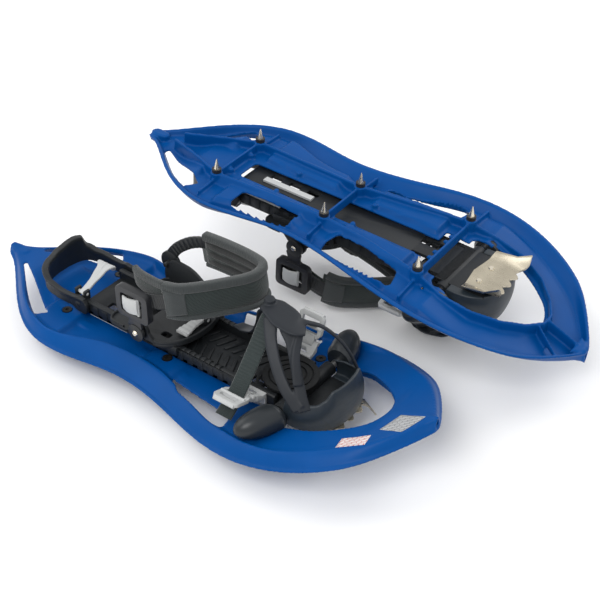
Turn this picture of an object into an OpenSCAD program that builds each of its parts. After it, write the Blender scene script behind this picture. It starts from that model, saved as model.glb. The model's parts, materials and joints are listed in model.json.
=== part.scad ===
// A pair of plastic-deck snowshoes. The right shoe stands on its spikes.
// The left shoe lies beside it upside down, resting on its binding.
// Every piece is drawn in the shoe's own frame: X runs from tail to nose,
// Y points to the wearer's left, and Z = 0 is the lower edge of the skirt.

/* [Deck] */
// Length of the deck from tail to nose
deck_l = 600; // [570:5:680]
// Width over the tail lobe
tail_w = 192; // [180:2:230]
// Width at the waist
waist_w = 170; // [160:2:200]
// Width over the toe lobe
toe_w = 230; // [222:2:280]
// Width of the knob at the tail's end
knob_w = 16; // [12:1:24]
// Where along the length the tail lobe is widest
tail_x = -140; // [-160:5:-120]
// Where along the length the waist is narrowest
waist_x = -45; // [-60:5:-30]
// Where along the length the toe lobe is widest
toe_x = 135; // [120:5:150]
// Height of the crest over the skirt's edge
crest_h = 15.5; // [12:0.5:20]
// Width of the sloping skirt outside the crest
skirt_in = 21; // [16:1:26]
// Wall of the moulded deck
deck_t = 3.2; // [2.6:0.1:4]
// How far the nose curves up
nose_rise = 53; // [30:1:60]
// How far the tail curves up
tail_rise = 12; // [5:1:20]

/* [Rails and ribs] */
// Thickness of the rails and cross ribs under the deck
rib_t = 3.5; // [2.5:0.5:6]
// How far the rails reach below the skirt's edge
rail_drop = 6; // [3:0.5:9]
// Half width of the open channel down the middle
channel_y = 20; // [14:1:24]

/* [Spikes] */
// Height of a steel spike's cone
spike_h = 12.5; // [8:0.5:18]
// Radius of a steel spike at its root
spike_r = 3.6; // [2.5:0.1:4.5]
// Height of the black collar that holds a spike
collar_h = 4.5; // [3:0.5:8]
// Radius of the black collar
collar_r = 5.6; // [5:0.1:7]

/* [Binding plate] */
// Width of the channel-shaped binding plate
plate_w = 72; // [66:1:76]
// Rear end of the binding plate
plate_rear = -152; // [-158:1:-148]
// Height of the plate's floor over the skirt's edge
plate_z = 13; // [12.5:0.5:15]
// Thickness of the plate's floor
floor_t = 4; // [3:0.5:5]
// Height of the side rails
side_h = 16; // [13:0.5:18]
// Width of each side rail
side_t = 7; // [5:0.5:9]

/* [Toe pivot] */
// Where along the length the pivot axle lies
axle_x = 140; // [138:1:144]
// Height of the axle over the skirt's edge
axle_z = 21; // [20:0.5:23]
// Radius of the axle
axle_r = 4; // [3:0.5:5]
// Length of the axle
axle_l = 150; // [140:2:160]
// Outer radius of the hinge barrel
barrel_r = 8; // [7:0.5:8.5]

/* [Toe cup] */
// Width of the toe cup at its open back
cup_w = 94; // [86:1:98]
// Height of the toe cup's rim over the plate
cup_h = 32; // [24:1:40]
// Wall of the toe cup
cup_t = 3; // [2.5:0.5:4]

/* [Straps] */
// Width of the toe strap webbing
webbing_w = 20; // [18:1:25]
// Thickness of the webbing
webbing_t = 2; // [1.5:0.1:3]
// Height of the toe strap's crown over the skirt's edge
crown_z = 110; // [104:1:114]
// Height of the padded ankle strap
pad_h = 42; // [34:1:48]
// Thickness of the padded ankle strap
pad_t = 9; // [6:0.5:12]
// How much higher the upright shoe's ankle strap stands than the pressed-down one
strap_rise = 10; // [0:1:14]

/* [Heel] */
// Length of the sliding heel carriage
carriage_l = 104; // [92:1:110]
// Width of the heel carriage
carriage_w = 100; // [96:1:108]
// Height of the heel lift's wall
lift_h = 36; // [28:1:46]
// Length of the heel lift from its pins to its back
lift_l = 68; // [60:1:74]

/* [Pair] */
// How far apart the two centre lines are
pair_gap = 213; // [205:1:260]
// How far ahead of the right shoe the left one lies
pair_lead = 50; // [0:1:60]
// Turn of the left shoe seen from above
left_yaw = 2.5; // [0:0.5:4]
// Forward tilt of the upturned left shoe
left_pitch = 3; // [0:0.5:4]

/* [Hidden] */
// Clearances: a pin in its bore, and parts that slide on each other
run_gap = 0.05;
slide_gap = 0.3;
half_l = deck_l / 2;
// The toe lobe's outline ends in a blunt point and the tail in a knob
nose_power = 0.6;
knob_y = knob_w / 2;
rise_x = 60;
// Spikes stand in three pairs on the rails
spike_spots = [[-166, 43], [-18, 38], [117, 59]];
tip_drop = rail_drop + collar_h + spike_h;
spine_z = 9;
// Long enough for a cutter to pass right through
cut_h = 300;
// The rails follow the skirt down to here, and ahead of it end level with the edge
rail_end = 130;
boss_r = 7;
socket_r = 6.4;
screw_r = 5.4;
rail_line = [[-half_l + 44, 9], [-214, 24], spike_spots[0], [-92, 40], spike_spots[1], [50, 47],
             spike_spots[2], [150, 65], [186, 62], [216, 48], [238, 28], [250, 8]];
// Side windows as [x, y] corners, outermost last
front_window = [[8, 44], [96, 64], [96, 90], [8, 70]];
waist_window = [[-122, 50], [-45, 46], [-45, 66], [-122, 64]];
plate_y = plate_w / 2;
plate_top = plate_z + floor_t;
side_top = plate_z + side_h;
barrel_y = 44;
notch_x = 106;
notch_gap = 2;
cover_x = 14;
tread_x = axle_x - 18;
tread_z = axle_z + barrel_r + 0.5;
tread_t = 3;
tread_r = plate_y - 6;
groove_w = 2;
groove_deep = 1.5;
scale_slot = [16, 10];
front_slot = [26, 12];
cup_back = 150;
cup_front = 196;
sole_end = cup_front - 8;
crampon_y = plate_y - 2;
crampon_t = 2;
lift_pin_x = -148;
lift_pin_z = 24;
lift_pin_r = 2.5;
lift_y = plate_y + slide_gap;
lift_t = 5;
carriage_x = -96;
carriage_y = carriage_w / 2;
carriage_z = side_top + slide_gap;
carriage_t = 4;
ear_t = 4;
// The ankle strap turns on one rivet at each side of the carriage
far_rivet = [-92, carriage_y, 53];
near_rivet = [-44, -carriage_y, 42];
rivet_r = 3;
rivet_gap = 0.35;
disc_gap = 2.5;
strap_x = 102;
buckle_pin = [plate_y + 18, plate_z + 21];
buckle_w = webbing_w + 12;
buckle_l = 32;
buckle_t = 5;
eye_w = webbing_w - 0.6;
eye_r = 4;
fork_w = webbing_w + 0.4;
slot_w = webbing_w + 2;
near_lean = 72;
far_lean = 22;
buckle_pin_r = 2.2;
lever_pin = [-150, 5 - plate_y, side_top + 5];
lever_r = 2;
lug_t = 3;
lug_w = 8;
lever_tilt = 28;
catch_pin = [-8, 10, carriage_z + carriage_t + 6];
catch_w = 11.2;
corner_r = 14;
disc_t = 4;
ladder_w = 18;
ladder_t = 2.4;
// The ratchet's frame from its lower rear corner, and the window in it
frame_corner = [-64, 64];
frame_size = [42, 34];
frame_t = 7.5;
frame_window = [26, 22];
ratchet_pin = [-36, -57, 81];
ratchet_r = 1.6;
steps = 44;

// ---------------------------------------------------------------- outline
function ease(t) = (1 - cos(180 * t)) / 2;
function mix(a, b, t) = a + (b - a) * t;
function clamp01(t) = min(max(t, 0), 1);
// Half width of the deck at x
function half_w(x) =
    x < tail_x ? knob_y + (tail_w / 2 - knob_y) * cos(90 * (tail_x - x) / (tail_x + half_l)) :
    x < waist_x ? mix(tail_w, waist_w, ease((x - tail_x) / (waist_x - tail_x))) / 2 :
    x < toe_x ? mix(waist_w, toe_w, ease((x - waist_x) / (toe_x - waist_x))) / 2 :
    max(toe_w / 2 * pow(max(1 - pow((x - toe_x) / (half_l - toe_x), 2), 0), nose_power), 3);
// Height of the skirt's lower edge at x
function edge_z(x) =
    nose_rise * pow(clamp01((x - rise_x) / (half_l - rise_x)), 2)
    + tail_rise * pow(clamp01((-x - half_l / 2) / (half_l / 2)), 2);
// Stations crowd towards the nose, where the outline turns fastest
function station(i) = -half_l + deck_l * sin(90 * pow(i / steps, 1.15));
function nose_pull(x) = pow(clamp01((x - 215) / (half_l - 215)), 2);
function skirt_at(x) = min(skirt_in, half_w(x) / 2) * (1 - 0.35 * nose_pull(x));
function spine_at(x) = mix(spine_z, crest_h - 2.5, clamp01((x - 110) / 70))
    + (crest_h - spine_z - 2) * clamp01((-x - 180) / 60);
// One cross-section, from the left edge over the top and back underneath
function deck_ring(x) =
    let (w = half_w(x), s = skirt_at(x), z = edge_z(x), n = 10 * nose_pull(x),
         inner = max(w - s - 5, w * 0.3), flat = min(26, inner * 0.8), low = spine_at(x),
         top = [[0, w, 0], [1, w - s, crest_h], [1.3, inner, crest_h - 0.4], [2, flat, low]],
         lower = [[0.2, w - deck_t * 1.2, 0], [1, w - s - deck_t * 0.5, crest_h - deck_t * 1.3],
                  [1.4, inner - 1, crest_h - deck_t * 1.2], [2, flat, low - deck_t]])
    [for (p = top) [x - n * p[0], p[1], z + p[2]],
     for (i = [3:-1:0]) [x - n * top[i][0], -top[i][1], z + top[i][2]],
     for (p = lower) [x - n * p[0], -p[1], z + p[2]],
     for (i = [3:-1:0]) [x - n * lower[i][0], lower[i][1], z + lower[i][2]]];

module loft(rings) {
    m = len(rings[0]);
    last = (len(rings) - 1) * m;
    polyhedron(
        points = [for (r = rings) each r],
        faces = [[for (j = [0:m - 1]) j],
                 [for (j = [m - 1:-1:0]) last + j],
                 for (i = [0:len(rings) - 2], j = [0:m - 1])
                     let (a = i * m + j, b = i * m + (j + 1) % m) [a, a + m, b + m],
                 for (i = [0:len(rings) - 2], j = [0:m - 1])
                     let (a = i * m + j, b = i * m + (j + 1) % m) [a, b + m, b]]);
}

// A flat strip of even thickness along a line of [a, b] points
function side_step(line, i) =
    let (p = line[max(i - 1, 0)], q = line[min(i + 1, len(line) - 1)], d = q - p)
    [-d[1], d[0]] / norm(d);
function strip(line, t) = concat(
    [for (i = [0:len(line) - 1]) line[i] + side_step(line, i) * t / 2],
    [for (i = [len(line) - 1:-1:0]) line[i] - side_step(line, i) * t / 2]);

// ---------------------------------------------------------------- deck
module blade(p, q) {
    hull()
        for (a = [p, q])
            let (drop = a[0] < rail_end ? rail_drop : 0)
                translate([a[0], a[1], edge_z(a[0]) - drop])
                    cylinder(h = spine_at(a[0]) + drop - 1, d = rib_t, $fn = 8);
}
module window(corners) {
    translate([0, 0, -cut_h / 2])
        linear_extrude(cut_h)
            offset(r = 4, $fn = 16)
                offset(delta = -4)
                    polygon(corners);
}
module tail_window() {
    tip = -half_l + 36;
    end = -180;
    outer = [for (i = [6:-1:0]) let (x = mix(tip, end, i / 6)) [x, half_w(x) - skirt_at(x) + 1]];
    translate([0, 0, -cut_h / 2])
        linear_extrude(cut_h)
            polygon(concat([[tip, 13], [end, 56]], outer));
}
module toe_opening() {
    translate([0, 0, -cut_h / 2])
        linear_extrude(cut_h)
            hull() {
                for (s = [-1, 1]) {
                    translate([172, 36 * s])
                        circle(22, $fn = 32);
                    translate([152, 54 * s])
                        circle(4, $fn = 16);
                    translate([202, 23 * s])
                        circle(20, $fn = 32);
                }
                translate([221, 0])
                    circle(22, $fn = 32);
            }
}
module deck() {
    color([0, 0.27, 0.62])
    difference() {
        union() {
            loft([for (i = [0:steps]) deck_ring(station(i))]);
            for (s = [-1, 1])
                for (i = [0:len(rail_line) - 2])
                    blade([rail_line[i][0], s * rail_line[i][1]],
                          [rail_line[i + 1][0], s * rail_line[i + 1][1]]);
            for (spot = spike_spots)
                translate([spot[0] - rib_t / 2, -spot[1], -rail_drop + 1])
                    cube([rib_t, 2 * spot[1], rail_drop + spine_z - 2]);
            for (spot = spike_spots, s = [-1, 1])
                translate([spot[0], s * spot[1], -rail_drop])
                    cylinder(h = rail_drop + spine_z, r = boss_r, $fn = 24);
        }
        for (s = [-1, 1]) {
            mirror([0, (1 - s) / 2, 0])
                tail_window();
            window([for (p = front_window) [p[0], s * p[1]]]);
        }
        window(waist_window);
        translate([0, 0, spine_z - deck_t - 1])
            linear_extrude(30)
                square([240, 2 * channel_y], center = true);
        toe_opening();
        // Notch for the binding plate's front, then for the hinge barrel and the axle
        translate([notch_x, -plate_y - notch_gap, -notch_gap])
            cube([axle_x - notch_x, plate_w + 2 * notch_gap, cut_h]);
        translate([axle_x - barrel_r - notch_gap - 1, -barrel_y - notch_gap, -notch_gap])
            cube([30, 2 * (barrel_y + notch_gap), cut_h]);
        translate([axle_x - axle_r - notch_gap, -axle_l / 2 - notch_gap, axle_z - axle_r - 1.5])
            cube([2 * (axle_r + notch_gap), axle_l + 2 * notch_gap, cut_h]);
        at_sockets()
            cylinder(h = cut_h, r = socket_r, $fn = 20);
    }
}
module label(x, y, turn, size, tint) {
    color(tint)
    translate([x, y, edge_z(x) + crest_h - 0.6])
        rotate([0, -atan(2 * nose_rise * (x - rise_x) / pow(half_l - rise_x, 2)), turn])
            translate([-size[0] / 2, -size[1] / 2, 0])
                cube([size[0], size[1], 1]);
}

// ---------------------------------------------------------------- spikes
module at_spikes() {
    for (spot = spike_spots, s = [-1, 1])
        translate([spot[0], s * spot[1], 0])
            children();
}
// Where the screws that hold the spikes sit in the deck's top
module at_sockets() {
    for (spot = spike_spots, s = [-1, 1])
        translate([spot[0], s * spot[1], spine_z + edge_z(spot[0]) - 2])
            children();
}
module spikes() {
    color("silver")
    at_spikes()
        translate([0, 0, -tip_drop])
            cylinder(h = spike_h, r1 = 0.5, r2 = spike_r, $fn = 32);
}
module spike_collars() {
    color([0.08, 0.08, 0.09])
    at_spikes()
        translate([0, 0, -rail_drop - collar_h])
            cylinder(h = collar_h, r = collar_r, $fn = 32);
}
module spike_screws() {
    color([0.06, 0.06, 0.07])
    at_sockets()
        difference() {
            cylinder(h = 2.4, r = screw_r, $fn = 32);
            translate([0, 0, 1])
                cylinder(h = 3, r = 2.2, $fn = 6);
        }
}

// ---------------------------------------------------------------- toe pivot
module pivot_axle() {
    color("silver")
    translate([axle_x, axle_l / 2, axle_z])
        rotate([90, 0, 0])
            cylinder(h = axle_l, r = axle_r, $fn = 48);
}
module pivot_covers() {
    color([0.17, 0.19, 0.21])
    for (s = [-1, 1])
        difference() {
            hull() {
                translate([axle_x, s * 56, axle_z])
                    rotate([90, 0, 0])
                        cylinder(h = 4, r = cover_x, center = true, $fn = 24);
                translate([axle_x - 1, s * 76, axle_z + 4])
                    scale([1.15, 1.3, 1])
                        sphere(cover_x, $fn = 20);
                translate([axle_x - 4, s * 92, axle_z + 6])
                    scale([1, 1.4, 0.85])
                        sphere(10, $fn = 16);
            }
            translate([axle_x, s * (axle_l / 2) / 2, axle_z])
                rotate([90, 0, 0])
                    cylinder(h = axle_l / 2, r = axle_r, center = true, $fn = 48);
        }
}

// ---------------------------------------------------------------- binding plate
module binding_plate() {
    front = axle_x - barrel_r - 4;
    color([0.13, 0.14, 0.15])
    difference() {
        union() {
            translate([plate_rear, -plate_y, plate_z])
                cube([front - plate_rear, plate_w, floor_t]);
            for (s = [-1, 1])
                translate([plate_rear, s * (plate_y - side_t / 2) - side_t / 2, plate_z])
                    cube([front - plate_rear, side_t, side_h]);
            // Barrel round the axle and the sole plate ahead of it
            translate([axle_x, barrel_y, axle_z])
                rotate([90, 0, 0])
                    cylinder(h = 2 * barrel_y, r = barrel_r, $fn = 64);
            translate([front - 1, -plate_y, plate_z])
                cube([barrel_r + 6, plate_w, floor_t + 2]);
            translate([axle_x, -plate_y, plate_z + 1])
                cube([sole_end - axle_x, plate_w, floor_t]);
            // Chevron ribs across the floor
            for (x = [-40:22:70], s = [-1, 1])
                translate([x, s * 14, plate_top])
                    rotate([0, 0, s * 25])
                        cube([4, 22, 5], center = true);
            lever_lugs();
        }
        lever_pin_hole();
        translate([axle_x, 0, axle_z])
            rotate([90, 0, 0])
                cylinder(h = cut_h, r = axle_r + run_gap, center = true, $fn = 48);
        // Slots in the floor
        for (x = [-118, -92, -66], s = [-1, 1])
            translate([x - scale_slot[0] / 2, s * 14 - scale_slot[1] / 2, 0])
                cube([scale_slot[0], scale_slot[1], cut_h]);
        for (s = [-1, 1])
            translate([82, s * 15 - front_slot[1] / 2, 0])
                cube([front_slot[0], front_slot[1], cut_h]);
        // Pin holes of the heel lift
        translate([lift_pin_x, 0, lift_pin_z])
            rotate([90, 0, 0])
                cylinder(h = cut_h, r = lift_pin_r + run_gap, center = true, $fn = 32);
    }
}
module tread_plate() {
    color([0.1, 0.1, 0.11])
    translate([tread_x, 0, tread_z]) {
        difference() {
            cylinder(h = tread_t, r = tread_r, $fn = 64);
            for (r = [8:7:22])
                translate([0, 0, tread_t - groove_deep])
                    difference() {
                        cylinder(h = tread_t, r = r + groove_w, $fn = 48);
                        translate([0, 0, -1])
                            cylinder(h = tread_t + 2, r = r, $fn = 48);
                    }
        }
        // Four feet on the plate's floor
        for (a = [-21, 7], b = [-18, 12])
            translate([a, b, plate_top - tread_z])
                cube([6, 6, tread_z + 0.1 - plate_top]);
    }
}

// ---------------------------------------------------------------- toe cup and crampon
cup_line = [[cup_back, cup_w / 2], [168, cup_w / 2 - 2], [183, cup_w / 2 - 7],
            [192, cup_w / 2 - 16], [cup_front, cup_w / 2 - 30]];
function cup_outline(inset) = concat(
    [for (p = cup_line) [p[0] - inset, p[1] - inset]],
    [for (i = [len(cup_line) - 1:-1:0])
        let (p = cup_line[i]) [p[0] - inset, inset - p[1]]]);
module toe_cup() {
    base = plate_z + 1;
    rim = base + cup_h;
    color([0.15, 0.18, 0.22])
    difference() {
        translate([0, 0, base])
            linear_extrude(cup_h + 14)
                polygon(cup_outline(0));
        translate([0, 0, base + floor_t])
            linear_extrude(cup_h + 14)
                polygon(cup_outline(cup_t));
        // The binding's sole plate fills the floor
        translate([cup_back - 20, -plate_y, base - 1])
            cube([sole_end - cup_back + 20, plate_w, floor_t + 2]);
        // The rim is low at the sides and rises over the toes
        translate([0, 100, 0])
            rotate([90, 0, 0])
                linear_extrude(200)
                    polygon([[cup_back - 5, rim - 6], [178, rim], [186, rim + 5],
                             [192, rim + 13], [220, rim + 13], [220, rim + 60],
                             [cup_back - 5, rim + 60]]);
    }
}
module crampon() {
    top = plate_z + 1;
    color([0.62, 0.6, 0.55])
    union() {
        translate([cup_back + 4, -crampon_y, top - crampon_t])
            cube([46, 2 * crampon_y, crampon_t]);
        for (s = [-1, 1])
            translate([0, s * crampon_y + (s > 0 ? crampon_t : 0), 0])
                rotate([90, 0, 0])
                    linear_extrude(crampon_t)
                        polygon([[cup_back + 6, top], [cup_back + 50, top],
                                 [cup_back + 52, top - 20], [cup_back + 44, top - 9],
                                 [cup_back + 36, top - 15], [cup_back + 28, top - 6],
                                 [cup_back + 8, top - 4]]);
    }
}
module crampon_rivets() {
    color("silver")
    for (s = [-1, 1])
        translate([cup_back + 20, s * 14, plate_z - 2.2])
            cylinder(h = 1.2, r = 3.4, $fn = 32);
}

// ---------------------------------------------------------------- toe harness and strap
module link(p, q, size) {
    hull()
        for (a = [p, q])
            translate(a)
                cube(size, center = true);
}
module toe_harness() {
    crown = crown_z - webbing_t - 3;
    rim = plate_z + 1 + cup_h;
    color([0.14, 0.16, 0.18])
    union() {
        link([strap_x - 14, -8, crown], [strap_x + 26, 6, crown - 4], [12, 18, 4]);
        link([strap_x + 18, -12, crown - 4], [172, -cup_w / 2 + 4, rim - 5], [9, 4, 9]);
        link([strap_x + 34, -6, crown - 6], [178, -cup_w / 2 + 6, rim - 5], [8, 4, 8]);
        link([strap_x + 34, 10, crown - 5], [168, 30, crown - 24], [7, 3, 9]);
        link([168, 30, crown - 24], [188, 34, rim - 1], [7, 3, 9]);
        link([strap_x - 10, 3, crown], [68, 18, 48], [6, 9, 5]);
        link([68, 18, 48], [28, plate_y - 4, side_top + 1.4], [12, 7, 3]);
    }
}
function roof_z(y) = crown_z + 6 - sqrt(36 + 1.32 * y * y);
module toe_strap() {
    near = -62;
    far = 48;
    line = [for (i = [0:22]) let (y = near + (far - near) * i / 22) [y, roof_z(y)]];
    color([0.16, 0.2, 0.18])
    translate([strap_x - webbing_w / 2, 0, 0])
        rotate([90, 0, 90])
            linear_extrude(webbing_w)
                polygon(strip(line, webbing_t));
}
// A ladder-lock buckle that leans outwards from its pin
module buckle(s, lean) {
    color([0.66, 0.68, 0.68])
    translate([strap_x, s * buckle_pin[0], buckle_pin[1]])
        rotate([-s * lean, 0, 0]) {
            difference() {
                union() {
                    translate([-buckle_w / 2, -buckle_t / 2, 6])
                        cube([buckle_w, buckle_t, buckle_l - 6]);
                    translate([-eye_w / 2, -eye_r / 2, 0])
                        cube([eye_w, eye_r, 8]);
                    rotate([0, 90, 0])
                        cylinder(h = eye_w, r = eye_r, center = true, $fn = 32);
                }
                rotate([0, 90, 0])
                    cylinder(h = 60, r = buckle_pin_r + run_gap, center = true, $fn = 32);
                // Two slots that the webbing weaves through
                for (z = [10, 19])
                    translate([-slot_w / 2, -10, z])
                        cube([slot_w, 20, 5.5]);
            }
        }
}
module anchor(s) {
    color([0.7, 0.71, 0.7])
    translate([strap_x, 0, 0])
        mirror([0, (1 - s) / 2, 0])
            union() {
                difference() {
                    union() {
                        translate([-buckle_w / 2, plate_y, plate_z + 2])
                            cube([buckle_w, 3, side_h - 2]);
                        rotate([90, 0, 90])
                            linear_extrude(buckle_w, center = true)
                                polygon([[plate_y, side_top - 4], [plate_y + 3, side_top - 8],
                                         [buckle_pin[0] + 1, buckle_pin[1] - 4],
                                         [buckle_pin[0] - 2, buckle_pin[1] + 1]]);
                    }
                    translate([-fork_w / 2, buckle_pin[0] - 6, buckle_pin[1] - 8])
                        cube([fork_w, 20, 20]);
                }
                for (a = [-1, 1])
                    translate([a * (buckle_w + fork_w) / 4, buckle_pin[0], buckle_pin[1]])
                        rotate([0, 90, 0])
                            cylinder(h = (buckle_w - fork_w) / 2, r = eye_r, center = true, $fn = 32);
                translate([0, buckle_pin[0], buckle_pin[1]])
                    rotate([0, 90, 0])
                        cylinder(h = buckle_w, r = buckle_pin_r, center = true, $fn = 32);
            }
}

// ---------------------------------------------------------------- latch and heel lift
module latch_lever() {
    color([0.62, 0.64, 0.65])
    translate(lever_pin)
        rotate([lever_tilt, 0, 0]) {
            rotate([0, 90, 0])
                cylinder(h = 17, r = lever_r, center = true, $fn = 32);
            translate([-4.5, -3, -2])
                cube([9, 20, 4]);
            translate([0, 28, -2])
                scale([0.75, 1, 1])
                    cylinder(h = 5, r = 16, $fn = 48);
        }
}
module lever_lugs() {
    for (a = [-1, 1])
        translate([lever_pin[0] + a * 6.6 - lug_t / 2, lever_pin[1] - lug_w / 2, side_top - 1])
            cube([lug_t, lug_w, 10]);
}
module lever_pin_hole() {
    translate(lever_pin)
        rotate([0, 90, 0])
            cylinder(h = 40, r = lever_r + run_gap, center = true, $fn = 32);
}
module latch_bar() {
    color([0.7, 0.71, 0.7]) {
        translate([-128, -2, plate_z - 2.5])
            cube([68, 8, 2.5]);
        translate([-136, -plate_y + 0.5, plate_z - 1.5])
            cube([56, 4, 1.5]);
    }
}
module heel_lift() {
    back = lift_pin_x - lift_l;
    low = lift_pin_z - 5;
    top = low + lift_h;
    color([0.09, 0.1, 0.11])
    union() {
        for (s = [-1, 1]) {
            translate([0, s * (lift_y + lift_t / 2) + lift_t / 2, 0])
                rotate([90, 0, 0])
                    linear_extrude(lift_t)
                        union() {
                            translate([lift_pin_x, lift_pin_z])
                                circle(10, $fn = 48);
                            polygon([[lift_pin_x, low - 2], [lift_pin_x, low + 13],
                                     [lift_pin_x - 22, low + 14], [back + 24, low + 24],
                                     [back + 6, top], [back, top - 6], [back, low],
                                     [back + 20, low - 2]]);
                        }
            translate([lift_pin_x, s * (lift_y + 0.5) , lift_pin_z])
                rotate([s * 90, 0, 0])
                    cylinder(h = side_t + 1, r = lift_pin_r, $fn = 32);
        }
        translate([back, -lift_y - 1, low])
            cube([lift_t, 2 * lift_y + 2, lift_h - 8]);
        translate([back, -lift_y - 1, top - 9])
            cube([lift_t + 7, 2 * lift_y + 2, 9]);
    }
}

// ---------------------------------------------------------------- heel carriage
module ear(rivet, spread) {
    difference() {
        union() {
            translate([rivet[0], 0, rivet[2]])
                rotate([90, 0, 0])
                    cylinder(h = ear_t, r = 11, center = true, $fn = 64);
            rotate([90, 0, 0])
                linear_extrude(ear_t, center = true)
                    polygon([[max(rivet[0] - spread, carriage_x), carriage_z],
                             [min(rivet[0] + spread, carriage_x + carriage_l), carriage_z],
                             [rivet[0] + 11, rivet[2]], [rivet[0] - 11, rivet[2]]]);
        }
        translate([rivet[0], 0, rivet[2]])
            rotate([90, 0, 0])
                cylinder(h = 3 * ear_t, r = rivet_r + rivet_gap, center = true, $fn = 48);
    }
}
module heel_carriage() {
    color([0.13, 0.14, 0.15])
    union() {
        difference() {
            union() {
                translate([carriage_x + corner_r, -carriage_y, carriage_z])
                    cube([carriage_l - 2 * corner_r, carriage_w, carriage_t]);
                translate([carriage_x, -carriage_y + corner_r, carriage_z])
                    cube([carriage_l, carriage_w - 2 * corner_r, carriage_t]);
                for (a = [corner_r, carriage_l - corner_r], s = [-1, 1])
                    translate([carriage_x + a, s * (carriage_y - corner_r), carriage_z])
                        cylinder(h = carriage_t, r = corner_r, $fn = 48);
            }
            // Window over the boot-size scale
            translate([carriage_x + 16, -14, 0])
                cube([22, 28, cut_h]);
        }
        for (s = [-1, 1])
            translate([carriage_x + 10, s * (plate_y + slide_gap + 2) - 2, carriage_z - 9])
                cube([carriage_l - 20, 4, 10]);
        translate([0, far_rivet[1] - ear_t / 2, 0])
            ear(far_rivet, 34);
        translate([0, near_rivet[1] + ear_t / 2, 0])
            ear(near_rivet, 22);
        for (a = [-1, 1])
            difference() {
                translate([catch_pin[0] + a * 7.6 - lug_t / 2, catch_pin[1] - lug_w / 2, carriage_z + 1])
                    cube([lug_t, lug_w, catch_pin[2] - carriage_z + 3]);
                translate(catch_pin)
                    rotate([0, 90, 0])
                        cylinder(h = 40, r = lever_r + run_gap, center = true, $fn = 32);
            }
    }
}
module carriage_catch() {
    color([0.62, 0.64, 0.65])
    translate(catch_pin)
        union() {
            rotate([0, 90, 0])
                cylinder(h = 18, r = lever_r, center = true, $fn = 32);
            translate([-catch_w / 2, -30, -lever_r])
                cube([catch_w, 33, 2 * lever_r]);
            translate([-catch_w / 2, -34, -lever_r - 1.6])
                cube([catch_w, 8, 2 * lever_r + 1.6]);
        }
}

// ---------------------------------------------------------------- ankle strap
// Line of the pad seen from above, from the ratchet round the shin side to the arm
pad_line = [[-6, -44.5], [12, -40], [30, -26], [47, -8], [62, 10], [66, 24], [60, 38], [42, 45],
            [16, 50], [-14, 53.5], [-40, 55]];
pad_low = 66;
pad_slope = 7;
module pad_frame(rise) {
    translate([0, 0, pad_low + rise])
        rotate([0, -pad_slope, 0])
            children();
}
module ankle_pad(rise) {
    color([0.17, 0.2, 0.19])
    pad_frame(rise)
        linear_extrude(pad_h)
            polygon(strip(pad_line, pad_t));
}
module ankle_tongue(rise) {
    color([0.19, 0.22, 0.21])
    pad_frame(rise)
        translate([0, 0, 14])
            linear_extrude(pad_h - 14)
                polygon(strip([[-56, -34], [-30, -40], [-8, -42]], pad_t - 2));
}
module ladder_strap(rise) {
    ladder_y = near_rivet[1] - 0.6;
    color([0.1, 0.11, 0.12])
    pad_frame(rise)
        translate([0, 0, pad_h / 2 - ladder_w / 2])
            union() {
                linear_extrude(ladder_w)
                    polygon(strip([[-56, ladder_y], [-8, ladder_y], [10, ladder_y + 5]], ladder_t));
                for (x = [-52:4:-12])
                    translate([x, ladder_y - ladder_t / 2 - 0.6, 1])
                        cube([2, 2, ladder_w - 2]);
            }
}
module ankle_arm() {
    side = carriage_y + disc_gap;
    far_end = [-38, 100];
    color([0.08, 0.09, 0.09])
    union() {
        translate([far_rivet[0], side + disc_t, far_rivet[2]])
            rotate([90, 0, 0])
                cylinder(h = disc_t, r = 12, $fn = 64);
        translate([far_rivet[0], side + disc_t + 2, far_rivet[2]])
            rotate([90, 0, 0])
                cylinder(h = disc_t + disc_gap + ear_t + 4, r = rivet_r, $fn = 48);
        translate([0, side + disc_t, 0])
            rotate([90, 0, 0])
                linear_extrude(disc_t)
                    polygon(strip([[far_rivet[0], far_rivet[2]], [-72, 78], far_end], 14));
        translate([near_rivet[0], -side, near_rivet[2]])
            rotate([90, 0, 0])
                cylinder(h = disc_t, r = 9, $fn = 64);
        translate([near_rivet[0], -carriage_y + ear_t + 2, near_rivet[2]])
            rotate([90, 0, 0])
                cylinder(h = ear_t + disc_t + disc_gap + 3, r = rivet_r, $fn = 48);
    }
}
module ratchet_frame() {
    side = -carriage_y - disc_gap;
    color([0.12, 0.12, 0.13])
    difference() {
        union() {
            translate([frame_corner[0], side - 6, frame_corner[1]])
                cube([frame_size[0], frame_t, frame_size[1]]);
            // Link down to the rivet
            translate([near_rivet[0] - 9, side - 3, near_rivet[2] + 7])
                cube([18, 3, frame_corner[1] - near_rivet[2]]);
        }
        translate([frame_corner[0] + 6, side - 20, frame_corner[1] + 6])
            cube([frame_window[0], 40, frame_window[1]]);
        translate([ratchet_pin[0], ratchet_pin[1], 0])
            cylinder(h = cut_h, r = ratchet_r + run_gap, center = true, $fn = 32);
    }
}
module ratchet_lever() {
    color([0.66, 0.68, 0.68])
    translate(ratchet_pin)
        union() {
            cylinder(h = frame_size[1] - 4, r = ratchet_r, center = true, $fn = 32);
            translate([-18, -2.5, -9])
                cube([19, 3, 18]);
        }
}

// ---------------------------------------------------------------- the two shoes
// How far a point of the upturned shoe, as [x, z], reaches below that shoe's origin
function reach(p) = p[0] * sin(left_pitch) + p[1] * cos(left_pitch);
pad_front = max([for (p = pad_line) p[0]]) + pad_t / 2;
pad_top = [pad_front * cos(pad_slope) - pad_h * sin(pad_slope),
           pad_low + pad_front * sin(pad_slope) + pad_h * cos(pad_slope)];
crown_top = [strap_x + webbing_w / 2, crown_z + webbing_t / 2];
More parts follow.
